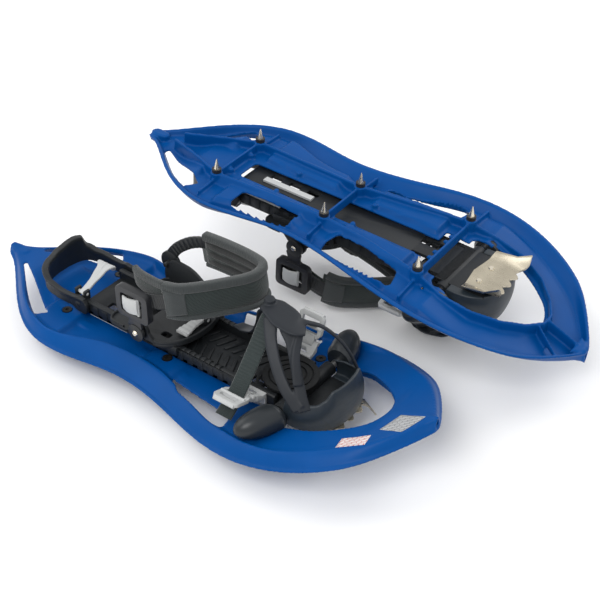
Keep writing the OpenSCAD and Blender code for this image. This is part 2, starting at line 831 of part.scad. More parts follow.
// Lifts that set both shoes on the ground, and the shift that centres the pair
right_lift = tip_drop;
left_lift = max(reach(pad_top), reach(crown_top));
left_nose = cos(left_yaw) * (half_l * cos(left_pitch) - nose_rise * sin(left_pitch));
left_side = toe_w / 2 * cos(left_yaw) + (toe_x + 4) * sin(left_yaw) * cos(left_pitch);
centre = [(left_nose - half_l) / 2, (left_side - toe_w / 2) / 2];
module right_shoe() {
    translate([-pair_lead / 2 - centre[0], -pair_gap / 2 - centre[1], right_lift])
        children();
}
module left_shoe() {
    translate([pair_lead / 2 - centre[0], pair_gap / 2 - centre[1], left_lift])
        rotate([0, left_pitch, left_yaw])
            children();
}
// Both decks are the same moulding, so the left one is only rolled over
module left_base() {
    left_shoe()
        rotate([180, 0, 0])
            children();
}
// The bindings are handed: a mirrored one rolled over is the right one mirrored in Z
module left_binding() {
    left_shoe()
        mirror([0, 0, 1])
            children();
}

right_shoe() deck();  // right_deck
right_shoe() spikes();  // right_spikes
right_shoe() spike_collars();  // right_spike_collars
right_shoe() spike_screws();  // right_spike_screws
right_shoe() pivot_axle();  // right_pivot_axle
right_shoe() pivot_covers();  // right_pivot_covers
right_shoe() binding_plate();  // right_binding_plate
right_shoe() tread_plate();  // right_tread_plate
right_shoe() toe_cup();  // right_toe_cup
right_shoe() crampon();  // right_crampon
right_shoe() crampon_rivets();  // right_crampon_rivets
right_shoe() toe_harness();  // right_toe_harness
right_shoe() toe_strap();  // right_toe_strap
right_shoe() buckle(-1, near_lean);  // right_outer_buckle
right_shoe() anchor(-1);  // right_outer_anchor
right_shoe() buckle(1, far_lean);  // right_inner_buckle
right_shoe() anchor(1);  // right_inner_anchor
right_shoe() heel_carriage();  // right_heel_carriage
right_shoe() carriage_catch();  // right_carriage_catch
right_shoe() latch_lever();  // right_latch_lever
right_shoe() latch_bar();  // right_latch_bar
right_shoe() ankle_arm();  // right_ankle_arm
right_shoe() ankle_pad(strap_rise);  // right_ankle_pad
right_shoe() ankle_tongue(strap_rise);  // right_ankle_tongue
right_shoe() ladder_strap(strap_rise);  // right_ladder_strap
right_shoe() ratchet_frame();  // right_ratchet_frame
right_shoe() ratchet_lever();  // right_ratchet_lever
right_shoe() heel_lift();  // right_heel_lift
right_shoe() label(264, 14, 38, [44, 15], [0.75, 0.76, 0.78]);  // right_nose_label
right_shoe() label(222, -56, 32, [40, 14], [0.92, 0.92, 0.9]);  // right_size_label
left_base() deck();  // left_deck
left_base() spikes();  // left_spikes
left_base() spike_collars();  // left_spike_collars
left_base() spike_screws();  // left_spike_screws
left_base() pivot_axle();  // left_pivot_axle
left_base() pivot_covers();  // left_pivot_covers
left_binding() binding_plate();  // left_binding_plate
left_binding() tread_plate();  // left_tread_plate
left_binding() toe_cup();  // left_toe_cup
left_binding() crampon();  // left_crampon
left_binding() crampon_rivets();  // left_crampon_rivets
left_binding() toe_harness();  // left_toe_harness
left_binding() toe_strap();  // left_toe_strap
left_binding() buckle(-1, near_lean);  // left_outer_buckle
left_binding() anchor(-1);  // left_outer_anchor
left_binding() buckle(1, far_lean);  // left_inner_buckle
left_binding() anchor(1);  // left_inner_anchor
left_binding() heel_carriage();  // left_heel_carriage
left_binding() carriage_catch();  // left_carriage_catch
left_binding() latch_lever();  // left_latch_lever
left_binding() latch_bar();  // left_latch_bar
left_binding() ankle_arm();  // left_ankle_arm
left_binding() ankle_pad(0);  // left_ankle_pad
left_binding() ankle_tongue(0);  // left_ankle_tongue
left_binding() ladder_strap(0);  // left_ladder_strap
left_binding() ratchet_frame();  // left_ratchet_frame
left_binding() ratchet_lever();  // left_ratchet_lever
left_binding() heel_lift();  // left_heel_lift
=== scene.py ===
import json
import math
import bmesh
import bpy
from mathutils import Matrix, Vector, noise


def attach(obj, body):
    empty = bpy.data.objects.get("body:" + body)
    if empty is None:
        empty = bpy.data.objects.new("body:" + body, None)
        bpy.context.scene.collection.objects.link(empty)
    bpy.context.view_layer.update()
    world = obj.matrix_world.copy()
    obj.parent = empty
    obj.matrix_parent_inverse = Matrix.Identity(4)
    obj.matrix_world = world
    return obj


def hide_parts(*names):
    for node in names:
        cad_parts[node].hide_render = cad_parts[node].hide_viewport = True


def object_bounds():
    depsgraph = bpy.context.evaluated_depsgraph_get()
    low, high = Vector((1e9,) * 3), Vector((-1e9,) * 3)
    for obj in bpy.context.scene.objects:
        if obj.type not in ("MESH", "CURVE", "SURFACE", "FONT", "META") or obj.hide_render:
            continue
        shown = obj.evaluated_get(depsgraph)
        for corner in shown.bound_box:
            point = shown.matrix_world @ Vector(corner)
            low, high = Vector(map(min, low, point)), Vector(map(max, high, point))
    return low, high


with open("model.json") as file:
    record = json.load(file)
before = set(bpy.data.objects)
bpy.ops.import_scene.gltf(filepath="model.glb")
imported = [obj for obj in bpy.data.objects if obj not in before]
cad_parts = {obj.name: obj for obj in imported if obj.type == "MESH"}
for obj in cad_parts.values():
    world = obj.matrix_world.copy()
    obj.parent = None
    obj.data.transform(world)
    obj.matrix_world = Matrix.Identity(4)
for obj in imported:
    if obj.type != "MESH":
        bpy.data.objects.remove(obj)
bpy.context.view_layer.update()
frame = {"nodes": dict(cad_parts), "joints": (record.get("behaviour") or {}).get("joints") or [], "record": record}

# ---------------------------------------------------------------- the two shoes' own frames
# Shapes are drawn in the right shoe's frame in millimetres: X from tail to nose, Y to the wearer's
# left, Z = 0 at the skirt's lower edge. Each shoe's place comes from its pivot and slide joints.
MM = 0.001
UP = Vector((0, 0, 1))
AXLE = Vector((140, 0, 21))
JOINTS = {j["name"]: j for j in frame["joints"]}


def shoe_matrix(side):
    along = Vector(JOINTS[f"{side}_carriage_slide"]["axis"])
    pivot = JOINTS[f"{side}_binding_pivot"]
    across = Vector(pivot["axis"]) * (1 if side == "right" else -1)
    turn = Matrix((along, across, along.cross(across))).transposed()
    axle = AXLE if side == "right" else Vector((AXLE.x, 0, -AXLE.z))
    place = Vector(pivot["pos_m"]) - turn @ axle * MM
    return Matrix.Translation(place) @ turn.to_4x4() @ Matrix.Scale(MM, 4)


# The left deck is the right one rolled over; the left binding is the right one mirrored in Z
ROLL = {"deck": Matrix.Diagonal((1, -1, -1, 1)), "binding": Matrix.Diagonal((1, 1, -1, 1))}
PLACE = {("right", base): shoe_matrix("right") for base in ROLL}
PLACE.update({("left", base): shoe_matrix("left") @ ROLL[base] for base in ROLL})


# ---------------------------------------------------------------- materials
def feed(node, values):
    for key, value in values.items():
        node.inputs[key].default_value = value


def node_material(name, colour, rough, metal=0.0, coat=0.0, specular=0.5, sheen=0.0):
    mat = bpy.data.materials.new(name)
    mat.use_nodes = True
    shader = mat.node_tree.nodes["Principled BSDF"]
    feed(shader, {"Base Color": (*colour, 1), "Roughness": rough, "Metallic": metal,
                  "Coat Weight": coat, "Coat Roughness": 0.25, "Specular IOR Level": specular,
                  "Sheen Weight": sheen})
    return mat, shader


def add(mat, kind, **settings):
    node = mat.node_tree.nodes.new(kind)
    for key, value in settings.items():
        if hasattr(node, key):
            setattr(node, key, value)
        else:
            node.inputs[key].default_value = value
    return node


def wire(mat, out, into):
    mat.node_tree.links.new(out, into)


def noise_node(mat, scale, detail=4.0, rough=0.55, stretch=None):
    coords = add(mat, "ShaderNodeTexCoord")
    tex = add(mat, "ShaderNodeTexNoise", Scale=scale, Detail=detail, Roughness=rough)
    source = coords.outputs["Object"]
    if stretch:
        mapping = add(mat, "ShaderNodeMapping")
        mapping.inputs["Scale"].default_value = stretch
        wire(mat, source, mapping.inputs["Vector"])
        source = mapping.outputs["Vector"]
    wire(mat, source, tex.inputs["Vector"])
    return tex


def tint(mat, shader, colour, spread, scale):
    """Colour that wanders between two shades of itself."""
    tex = noise_node(mat, scale, 5.0)
    ramp = add(mat, "ShaderNodeValToRGB")
    low = [c * (1 - spread) for c in colour]
    high = [min(c * (1 + spread), 1) for c in colour]
    ramp.color_ramp.elements[0].position = 0.3
    ramp.color_ramp.elements[0].color = (*low, 1)
    ramp.color_ramp.elements[1].position = 0.7
    ramp.color_ramp.elements[1].color = (*high, 1)
    wire(mat, tex.outputs["Fac"], ramp.inputs["Fac"])
    wire(mat, ramp.outputs["Color"], shader.inputs["Base Color"])


def rough_range(mat, shader, low, high, scale):
    tex = noise_node(mat, scale, 6.0, 0.65)
    span = add(mat, "ShaderNodeMapRange")
    feed(span, {"To Min": low, "To Max": high})
    wire(mat, tex.outputs["Fac"], span.inputs["Value"])
    wire(mat, span.outputs["Result"], shader.inputs["Roughness"])


def bump(mat, shader, height, strength, distance):
    node = add(mat, "ShaderNodeBump", Strength=strength, Distance=distance)
    wire(mat, height, node.inputs["Height"])
    wire(mat, node.outputs["Normal"], shader.inputs["Normal"])


def plastic(name, colour, rough, spread=0.12, coat=0.0, grain=900, depth=0.00006, specular=0.5):
    """Moulded plastic: slight colour drift, uneven gloss and a fine mould grain."""
    mat, shader = node_material(name, colour, rough, coat=coat, specular=specular)
    tint(mat, shader, colour, spread, 22)
    rough_range(mat, shader, rough * 0.85, rough * 1.2, 60)
    bump(mat, shader, noise_node(mat, grain, 3.0).outputs["Fac"], 0.35, depth)
    return mat


def metal(name, colour, rough, stretch=(1, 1, 1)):
    """Steel with fine drawn lines and a few smudges."""
    mat, shader = node_material(name, colour, rough, metal=1.0)
    tint(mat, shader, colour, 0.15, 40)
    rough_range(mat, shader, rough * 0.6, rough * 1.5, 90)
    bump(mat, shader, noise_node(mat, 700, 2.0, stretch=stretch).outputs["Fac"], 0.25, 0.00005)
    return mat


def fabric(name, colour, pitch, depth, spread=0.2, angle=0.6):
    """Woven cloth: two crossed sets of ribs, with painted shade that darkens the grooves between them and leaves
    their crowns lighter.
    """
    mat, shader = node_material(name, colour, 0.85, sheen=0.25, specular=0.25)
    shader.inputs["Sheen Roughness"].default_value = 0.5
    coords = add(mat, "ShaderNodeTexCoord")
    waves = []
    for turn in (angle, angle - math.pi / 2):
        mapping = add(mat, "ShaderNodeMapping")
        mapping.inputs["Rotation"].default_value = (turn, 0.35 * turn, turn)
        wire(mat, coords.outputs["Object"], mapping.inputs["Vector"])
        wave = add(mat, "ShaderNodeTexWave", wave_profile="SIN")
        feed(wave, {"Scale": 0.314 / (pitch * MM), "Distortion": 0.6, "Detail Scale": 3.0})
        wire(mat, mapping.outputs["Vector"], wave.inputs["Vector"])
        waves.append(wave.outputs["Fac"])
    weave = add(mat, "ShaderNodeMath", operation="MAXIMUM")
    wire(mat, waves[0], weave.inputs[0])
    wire(mat, waves[1], weave.inputs[1])
    # Painted shade: the colour follows the weave's height, darker in its grooves and lighter on its crowns
    mix = add(mat, "ShaderNodeMix", data_type="RGBA")
    feed(mix, {"A": (*[c * (1 - 2 * spread) for c in colour], 1),
               "B": (*[c * (1 + spread) for c in colour], 1)})
    wire(mat, weave.outputs["Value"], mix.inputs["Factor"])
    fuzz = noise_node(mat, 120, 5.0)
    shade = add(mat, "ShaderNodeMix", data_type="RGBA", blend_type="MULTIPLY")
    shade.inputs["Factor"].default_value = 0.5
    grey = add(mat, "ShaderNodeValToRGB")
    grey.color_ramp.elements[0].color = (0.55, 0.55, 0.55, 1)
    wire(mat, fuzz.outputs["Fac"], grey.inputs["Fac"])
    wire(mat, mix.outputs["Result"], shade.inputs["A"])
    wire(mat, grey.outputs["Color"], shade.inputs["B"])
    wire(mat, shade.outputs["Result"], shader.inputs["Base Color"])
    bump(mat, shader, weave.outputs["Value"], 0.6, depth * MM)
    return mat


def label_print(name, colour, ink):
    """A printed film label with plain bars where its print would be."""
    mat, shader = node_material(name, colour, 0.35)
    coords = add(mat, "ShaderNodeTexCoord")
    blot = add(mat, "ShaderNodeTexBrick", Scale=110.0)
    feed(blot, {"Color1": (*colour, 1), "Color2": (*[c * 0.86 for c in colour], 1),
                "Mortar": (*ink, 1), "Mortar Size": 0.035, "Brick Width": 0.9})
    wire(mat, coords.outputs["Object"], blot.inputs["Vector"])
    wire(mat, blot.outputs["Color"], shader.inputs["Base Color"])
    bump(mat, shader, noise_node(mat, 300, 2.0).outputs["Fac"], 0.15, 0.00003)
    return mat


BLUE = (0.0, 0.06, 0.245)
MATS = {
    "deck_blue": plastic("deck_blue", BLUE, 0.36, spread=0.05, specular=0.1, grain=500, depth=0.00005),
    "spike_steel": metal("spike_steel", (0.72, 0.66, 0.54), 0.22),
    "collar_black": plastic("collar_black", (0.012, 0.012, 0.013), 0.45),
    "screw_black": plastic("screw_black", (0.01, 0.009, 0.008), 0.5),
    "axle_steel": metal("axle_steel", (0.55, 0.55, 0.55), 0.3, (1, 20, 1)),
    "cover_grey": plastic("cover_grey", (0.016, 0.02, 0.024), 0.33, coat=0.05, specular=0.35),
    "plate_grey": plastic("plate_grey", (0.0085, 0.0105, 0.0125), 0.5, specular=0.4),
    "tread_black": plastic("tread_black", (0.007, 0.008, 0.009), 0.62, specular=0.35),
    "cup_grey": plastic("cup_grey", (0.014, 0.021, 0.028), 0.42, specular=0.45),
    "crampon_steel": metal("crampon_steel", (0.52, 0.47, 0.37), 0.27, (30, 1, 1)),
    "harness_grey": plastic("harness_grey", (0.011, 0.014, 0.019), 0.5, specular=0.32),
    "webbing": fabric("webbing", (0.024, 0.034, 0.034), 1.1, 0.3),
    "light_grey": plastic("light_grey", (0.44, 0.45, 0.45), 0.45, spread=0.06),
    "pad_fabric": fabric("pad_fabric", (0.017, 0.025, 0.024), 1.6, 0.4, spread=0.3),
    "strap_black": plastic("strap_black", (0.009, 0.0105, 0.0115), 0.42),
    "frame_black": plastic("frame_black", (0.013, 0.014, 0.017), 0.4),
    "lift_black": plastic("lift_black", (0.0085, 0.0105, 0.0125), 0.45, specular=0.42),
    "label_silver": label_print("label_silver", (0.42, 0.43, 0.44), (0.12, 0.12, 0.13)),
    "label_white": label_print("label_white", (0.72, 0.72, 0.7), (0.45, 0.05, 0.05)),
    "trim": fabric("trim", (0.036, 0.042, 0.043), 0.9, 0.3, angle=0.1),
    "lining": fabric("lining", (0.009, 0.0105, 0.0105), 1.6, 0.3),
}
SLOT_OF = {s["node"]: s["material_slot"] for s in frame["record"]["subparts"]}
for node, obj in frame["nodes"].items():
    obj.data.materials.clear()
    obj.data.materials.append(MATS[SLOT_OF[node]])


# ---------------------------------------------------------------- mesh helpers
def mesh_from(verts, faces):
    me = bpy.data.meshes.new("part")
    me.from_pydata([tuple(v) for v in verts], [], faces)
    me.validate()
    bm = bmesh.new()
    bm.from_mesh(me)
    bmesh.ops.recalc_face_normals(bm, faces=bm.faces)
    bm.to_mesh(me)
    bm.free()
    return me


def joined(meshes):
    bm = bmesh.new()
    for me in meshes:
        bm.from_mesh(me)
    out = bpy.data.meshes.new("joined")
    bm.to_mesh(out)
    bm.free()
    return out


def modified(me, *modifiers):
    """The mesh after the modifiers, each a (kind, settings) pair, are applied in turn."""
    obj = bpy.data.objects.new("work", me)
    bpy.context.scene.collection.objects.link(obj)
    for kind, settings in modifiers:
        mod = obj.modifiers.new(kind, kind)
        for key, value in settings.items():
            setattr(mod, key, value)
    graph = bpy.context.evaluated_depsgraph_get()
    out = bpy.data.meshes.new_from_object(obj.evaluated_get(graph))
    bpy.data.objects.remove(obj)
    return out


def cut(me, *tools):
    """The closed mesh less each closed tool."""
    holder = bpy.data.objects.new("tool", joined(tools))
    bpy.context.scene.collection.objects.link(holder)
    out = modified(me, ("BOOLEAN", {"operation": "DIFFERENCE", "object": holder,
                                    "solver": "MANIFOLD"}))
    bpy.data.objects.remove(holder)
    return out


def fused(me, voxel, passes=4):
    """Overlapping closed shells made into one moulding with softened edges."""
    return modified(me, ("REMESH", {"mode": "VOXEL", "voxel_size": voxel, "use_smooth_shade": True}),
                    ("SMOOTH", {"factor": 0.5, "iterations": passes}))


def bevelled(me, width, segments=3, angle=30):
    return modified(me, ("BEVEL", {"width": width, "segments": segments, "limit_method": "ANGLE",
                                   "angle_limit": math.radians(angle), "harden_normals": False}))


def prism(outline, low, high, plane="xy"):
    """A flat outline raised from low to high, across the plane's own normal."""
    order = {"xy": (0, 1, 2), "xz": (0, 2, 1), "yz": (2, 0, 1)}[plane]
    n = len(outline)
    corners = [(p[0], p[1], level) for level in (low, high) for p in outline]
    verts = [tuple(p[i] for i in order) for p in corners]
    faces = [tuple(range(n)), tuple(range(2 * n - 1, n - 1, -1))]
    faces += [(i, (i + 1) % n, n + (i + 1) % n, n + i) for i in range(n)]
    return mesh_from(verts, faces)


def block(low, high):
    return prism([(low[0], low[1]), (high[0], low[1]), (high[0], high[1]), (low[0], high[1])],
                 low[2], high[2])


def arc(cx, cy, r, start, end, count):
    return [(cx + r * math.cos(math.radians(start + (end - start) * i / count)),
             cy + r * math.sin(math.radians(start + (end - start) * i / count)))
            for i in range(count + 1)]


def rod(p, q, r, sides=24, r_end=None):
    """A straight round bar from p to q."""
    p, q = Vector(p), Vector(q)
    turn = (q - p).to_track_quat("Z", "Y").to_matrix()
    rings = []
    for place, radius in ((p, r), (q, r if r_end is None else r_end)):
        circle = arc(0, 0, radius, 0, 360, sides)[:-1]
        rings.append([place + turn @ Vector((x, y, 0)) for x, y in circle])
    return loft(rings)


def loft(rings):
    """Skin over rings of equal length, capped at both ends."""
    m, n = len(rings[0]), len(rings)
    verts = [v for ring in rings for v in ring]
    faces = []
    for i in range(n - 1):
        a, b = i * m, (i + 1) * m
        faces += [(a + j, a + (j + 1) % m, b + (j + 1) % m, b + j) for j in range(m)]
    faces += [tuple(range(m - 1, -1, -1)), tuple((n - 1) * m + j for j in range(m))]
    return mesh_from(verts, faces)


def mirrored(me):
    """The mesh on the other side of the shoe's middle."""
    me.transform(Matrix.Scale(-1, 4, (0, 1, 0)))
    me.flip_normals()


def mix(a, b, t):
    return a + (b - a) * t


def ease(t):
    t = min(max(t, 0.0), 1.0)
    return t * t * (3 - 2 * t)


def through(stops, x):
    """Smooth value at x through (x, value) stops."""
    if x <= stops[0][0]:
        return stops[0][1]
    for (x0, v0), (x1, v1) in zip(stops, stops[1:]):
        if x <= x1:
            return mix(v0, v1, ease((x - x0) / (x1 - x0)))
    return stops[-1][1]


def spline(points, count):
    """A smooth curve of count + 1 points through the given ones (Catmull-Rom)."""
    pts = [Vector(p) for p in points]
    pts = [2 * pts[0] - pts[1]] + pts + [2 * pts[-1] - pts[-2]]
    spans = len(pts) - 3
    out = []
    for k in range(count + 1):
        s = min(k / count * spans, spans - 1e-6)
        i, t = int(s), s - int(s)
        a, b, c, d = pts[i:i + 4]
        out.append(0.5 * (2 * b + (c - a) * t + (2 * a - 5 * b + 4 * c - d) * t * t
                          + (3 * b - a - 3 * c + d) * t ** 3))
    return out


def headings(path):
    """The direction of travel at each point of a path."""
    last = len(path) - 1
    return [(path[min(i + 1, last)] - path[max(i - 1, 0)]).normalized() for i in range(last + 1)]


def sides_of(path):
    """The level direction out of a path's right side, at each of its points."""
    return [ahead.cross(UP).normalized() for ahead in headings(path)]


def each(value, count):
    """A list as it is, or one value for every place."""
    return value if isinstance(value, list) else [value] * count


def ribbon(path, ups, widths, heights, corner=0.35, sides=12):
    """A band swept along path; ups give its outer face's direction, corner its roundness."""
    ups, widths, heights = (each(value, len(path)) for value in (ups, widths, heights))
    rings = []
    for i, (p, ahead) in enumerate(zip(path, headings(path))):
        side = ahead.cross(ups[i]).normalized()
        up = side.cross(ahead).normalized()
        ring = []
        for k in range(sides):
            angle = 2 * math.pi * (k + 0.5) / sides
            c, s = math.cos(angle), math.sin(angle)
            ring.append(p + side * (widths[i] / 2 * math.copysign(abs(c) ** corner, c))
                        + up * (heights[i] / 2 * math.copysign(abs(s) ** corner, s)))
        rings.append(ring)
    return loft(rings)


def piece(name, me, side, body, slot, replaces=(), material=None, soften=None):
    """One finished piece of one shoe: placed, smooth, with its material, riding on its body."""
    me = me.copy()
    matrix = PLACE[side, "deck" if body == "deck" else "binding"]
    me.transform(matrix)
    if matrix.determinant() < 0:
        me.flip_normals()
    me.materials.clear()
    me.materials.append(MATS[material or slot])
    obj = bpy.data.objects.new(f"{side}_{name}", me)
    bpy.context.scene.collection.objects.link(obj)
    for poly in me.polygons:
        poly.use_smooth = True
    if soften:
        bm = bmesh.new()
        bm.from_mesh(me)
        for edge in bm.edges:
            edge.smooth = not (len(edge.link_faces) == 2
                               and edge.calc_face_angle(0) > math.radians(soften))
        bm.to_mesh(me)
        bm.free()
    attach(obj, f"{side}_{body}")
    if replaces:
        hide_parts(*[f"{side}_{node}" for node in replaces])
    return obj


def both(name, me, body, slot, replaces=(), material=None, soften=None):
    """The same piece on each shoe."""
    for side in ("right", "left"):
        piece(name, me, side, body, slot, replaces, material, soften)


# ---------------------------------------------------------------- deck
HALF_L = 300
TAIL_W, WAIST_W, TOE_W = 96, 85, 115
TAIL_X, WAIST_X, TOE_X = -140, -45, 135
CREST = 15.5
WALL = 3.2
BLADE_T = 3.4
BOSS_R, SOCKET_R = 7.4, 6.4
ROLL_W, ROLL_H = 3.6, 3.2
VOXEL = 1.35
FILM_PROUD, FILM_T = 0.35, 1.2
SPINE, TROUGH = 9, 2.8
NOSE_RISE, TAIL_RISE, RISE_X = 53, 12, 60
RAIL_DROP = 6
SPIKES = [(-166, 43), (-18, 38), (117, 59)]
RAIL = [(-256, 9), (-214, 24), SPIKES[0], (-92, 40), SPIKES[1], (50, 47), SPIKES[2], (150, 65),
        (186, 62), (216, 48), (238, 28), (250, 8), (250, 0)]
SKIRT = [(-300, 6), (-235, 10), (-160, 10), (-80, 25), (-10, 25), (100, 17), (175, 14), (236, 19),
         (300, 10)]


def half_w(x):
    if x < TAIL_X:
        reach = min((TAIL_X - x) / (TAIL_X + HALF_L), 1)
        return 7 + (TAIL_W - 7) * (1 - reach ** 2.2) ** 1.6
    if x < WAIST_X:
        return mix(TAIL_W, WAIST_W, (1 - math.cos(math.pi * (x - TAIL_X) / (WAIST_X - TAIL_X))) / 2)
    if x < TOE_X:
        return mix(WAIST_W, TOE_W, (1 - math.cos(math.pi * (x - WAIST_X) / (TOE_X - WAIST_X))) / 2)
    reach = (x - TOE_X) / (HALF_L - TOE_X)
    return max(TOE_W * max(1 - reach ** 2, 0) ** (0.6 + 0.2 * ease((x - 240) / 60)), 5)


def edge_z(x):
    nose = NOSE_RISE * min(max((x - RISE_X) / (HALF_L - RISE_X), 0), 1) ** 2
    tail = TAIL_RISE * min(max((-x - HALF_L / 2) / (HALF_L / 2), 0), 1) ** 2
    return nose + tail


def floor_z(x, y):
    """Height of the trough between the crests, over the skirt's edge."""
    nose = ease((x - 105) / 90)
    tail = ease((-x - 185) / 60)
    z = mix(TROUGH, CREST - 0.6, max(nose, tail))
    for sx, _ in SPIKES:
        z = max(z, mix(z, SPINE, ease((25 - abs(x - sx)) / 5)))
    return mix(max(z, SPINE), z, ease((abs(y) - 24) / 5))


def skirt_w(x, y):
    """Width of the sloping skirt; it is narrower beside the windows of the +Y side."""
    wide = through(SKIRT, x)
    if y > 0:
        wide = min(wide, 18)
    return min(wide, half_w(x) * 0.55)


def top_z(x, y):
    w, skirt = half_w(x), skirt_w(x, y)
    inset = w - abs(y)
    crest = CREST - 5.5 * ease((-x - 225) / 60)
    if inset <= skirt:
        return crest * (1 - (1 - inset / skirt) ** 1.45)
    wall = min(6, (w - skirt) * 0.5)
    keel = 3 * ease((x - 236) / 14) * (1 - min(abs(y) / max(w - skirt, 1), 1))
    return mix(crest, min(floor_z(x, y), crest), ease((inset - skirt) / wall)) + keel


def deck_shell():
    """The pressed sheet of the deck, with even walls, before its windows are cut."""
    rings = []
    stations = [-HALF_L + 2 * HALF_L * math.sin(math.pi / 2 * (i / 150) ** 1.1) for i in range(151)]
    for x in stations:
        w = half_w(x)
        ys = []
        for s in (1, -1):
            skirt = skirt_w(x, s)
            half = [w - skirt * k / 8 for k in range(9)]
            half += [mix(w - skirt, 0, k / 20) for k in range(1, 21)]
            ys += half[:-1] if s > 0 else [-y for y in reversed(half)]
        top = [Vector((x, y, top_z(x, y))) for y in ys]
        low = []
        for i, p in enumerate(top):
            q, r = top[max(i - 1, 0)], top[min(i + 1, len(top) - 1)]
            slope = Vector((0, -(q.z - r.z), q.y - r.y)).normalized()
            under = p - slope * min(WALL, w * 0.4)
            if i in (0, len(top) - 1):
                under = Vector((x, p.y * (1 - min(WALL, w * 0.4) / w), 0))
            low.append(Vector((x, under.y, max(under.z, 0))))
        lift = Vector((0, 0, edge_z(x)))
        rings.append([p + lift for p in top] + [p + lift for p in reversed(low)])
    return loft(rings)


def round_outline(corners, r):
    """Corners of an outline with rounded tips."""
    out = []
    n = len(corners)
    for i, p in enumerate(corners):
        p = Vector(p)
        a = (Vector(corners[i - 1]) - p)
        b = (Vector(corners[(i + 1) % n]) - p)
        reach = min(r, a.length * 0.45, b.length * 0.45)
        start, end = p + a.normalized() * reach, p + b.normalized() * reach
        for t in (0, 0.25, 0.5, 0.75, 1):
            out.append(tuple(start * (1 - t) ** 2 + p * 2 * t * (1 - t) + end * t * t))
    return out


def rounded_box(low, high, r):
    """A rounded oblong between two corners."""
    return round_outline([low, (high[0], low[1]), high, (low[0], high[1])], r)


def deck_windows():
    """Tools for every opening: tail slots, small slots, side windows, channel and toe opening."""
    tools = []
    tip, end = -262, -179
    for s in (-1, 1):
        # The slot of the -Y side leaves a broader rim
        rim = 1 if s > 0 else 5
        outer = [(x, half_w(x) - skirt_w(x, s) - rim) for x in range(tip, end + 1, 12)]
        slot = [(tip - 1, 13)] + outer + [(end, 60)]
        tools.append(prism(round_outline([(x, s * y) for x, y in slot], 4), -30, 80))
        for x in (127, 146):
            tools.append(prism([(x, s * 57), (x + 3, s * 57), (x + 3, s * 67), (x, s * 67)], -30, 80))
    waist = [(-122, 47), (-45, 43), (-47, 66), (-122, 76)]
    front = [(14, 46), (94, 60), (100, 86), (91, 91), (2, 74)]
    front_near = [(4, -55), (96, -65), (101, -88), (93, -93), (30, -76)]
    channel = [(-152, -17), (106, -19), (106, 19), (-152, 17)]
    for outline, r in ((waist, 5), (front, 5), (front_near, 4), (channel, 6)):
        tools.append(prism(round_outline(outline, r), -30, 80))
    # Toe opening, and the room behind it for the cup and the hinge barrel
    toe = [(150, -57), (186, -56), (213, -42), (236, -24), (246, 0), (236, 24), (213, 42), (186, 56),
           (150, 57), (149, 40), (149, -40)]
    tools.append(prism(round_outline(toe, 12), -30, 90))
    tools.append(block((100, -38, -30), (160, 38, 60)))
    tools.append(prism([(129, -46), (134, -52), (160, -53), (160, 53), (134, 52), (129, 46)], -30, 60))
    return tools


def blade(p, q, thick=BLADE_T, drop=RAIL_DROP, up=2.5, flare=0):
    """A standing rib from p to q, from under the deck down past the skirt's edge.

    flare widens its foot outwards, away from the deck's middle."""
    p, q = Vector(p), Vector(q)
    across = Vector((p.y - q.y, q.x - p.x)).normalized()
    along = (q - p).normalized() * 0.4
    rings = []
    for end in (p - along, q + along):
        low = edge_z(end.x) - (drop if end.x < 130 else 0)
        high = edge_z(end.x) + top_z(end.x, end.y) - up
        out = math.copysign(1, across.y * (p.y + q.y) or 1)
        rings.append([(end.x + across.x * s * t, end.y + across.y * s * t, z)
                      for s, t, z in ((out, thick * 0.42, low), (-out, thick * 0.42, low),
                                      (-out, thick * 0.6, high), (out, thick * 0.6 + flare, high))])
    return loft(rings)


def deck_mesh():
    shell = deck_shell()
    for tool in deck_windows():
        shell = cut(shell, tool)
    parts = [shell]
    for s in (-1, 1):
        for p, q in zip(RAIL, RAIL[1:]):
            flare = 6 if -170 < p[0] < 110 else 0
            parts.append(blade((p[0], s * p[1]), (q[0], s * q[1]), flare=flare))
        for x, y in SPIKES:
            parts.append(rod((x, s * y, -RAIL_DROP), (x, s * y, SPINE), BOSS_R, 28))
            parts.append(blade((x, s * y), (x + 2, s * (half_w(x) - 14)), drop=0))
        for x, y in ((-94, 23), (12, 23), (-162, 20)):
            parts.append(rod((x, s * y, -1), (x, s * y, SPINE - 1), 3, 16, 3.6))
        for x, y in ((110, 24), (110, 12)):
            parts.append(rod((x, s * y, 0), (x + 8, s * y, 5), 2.6, 12))
        # Rolled edge all round, meeting itself at both tips
        rim = [(x, s * half_w(x)) for x in range(4 - HALF_L, HALF_L - 1, 6)]
        rim = [(0.5 - HALF_L, 0)] + rim + [(HALF_L - 0.5, 0)]
        edge = [Vector((x, y, edge_z(x) + 1.2)) for x, y in rim]
        parts.append(ribbon(edge, UP, ROLL_W, ROLL_H, 1.0, 8))
    for x, y in SPIKES:
        parts.append(blade((x, -y), (x, y), 3.2))
    parts.append(blade((250, 0), (288, 0), 2.4, up=2))
    parts.append(blade((248, 17), (278, 36), 1.8, up=2))
    # Solid tip of the nose, and the knob at the tail
    tip = [(286, -16), (294, -8), (298, -3), (298, 3), (294, 8), (286, 16)]
    parts.append(prism(tip, NOSE_RISE - 3, NOSE_RISE + 5))
    knob = [(x, y) for x, y in arc(-292, 0, 7, 90, 270, 12)] + arc(-280, 0, 6, -90, 90, 12)
    parts.append(prism(knob, TAIL_RISE - 5, TAIL_RISE + 8))
    # Sockets for the screws that hold the spikes
    sockets = [rod((x, s * y, SPINE + edge_z(x) - 2), (x, s * y, 60), SOCKET_R, 28)
               for x, y in SPIKES for s in (-1, 1)]
    return cut(fused(joined(parts), VOXEL), *sockets)


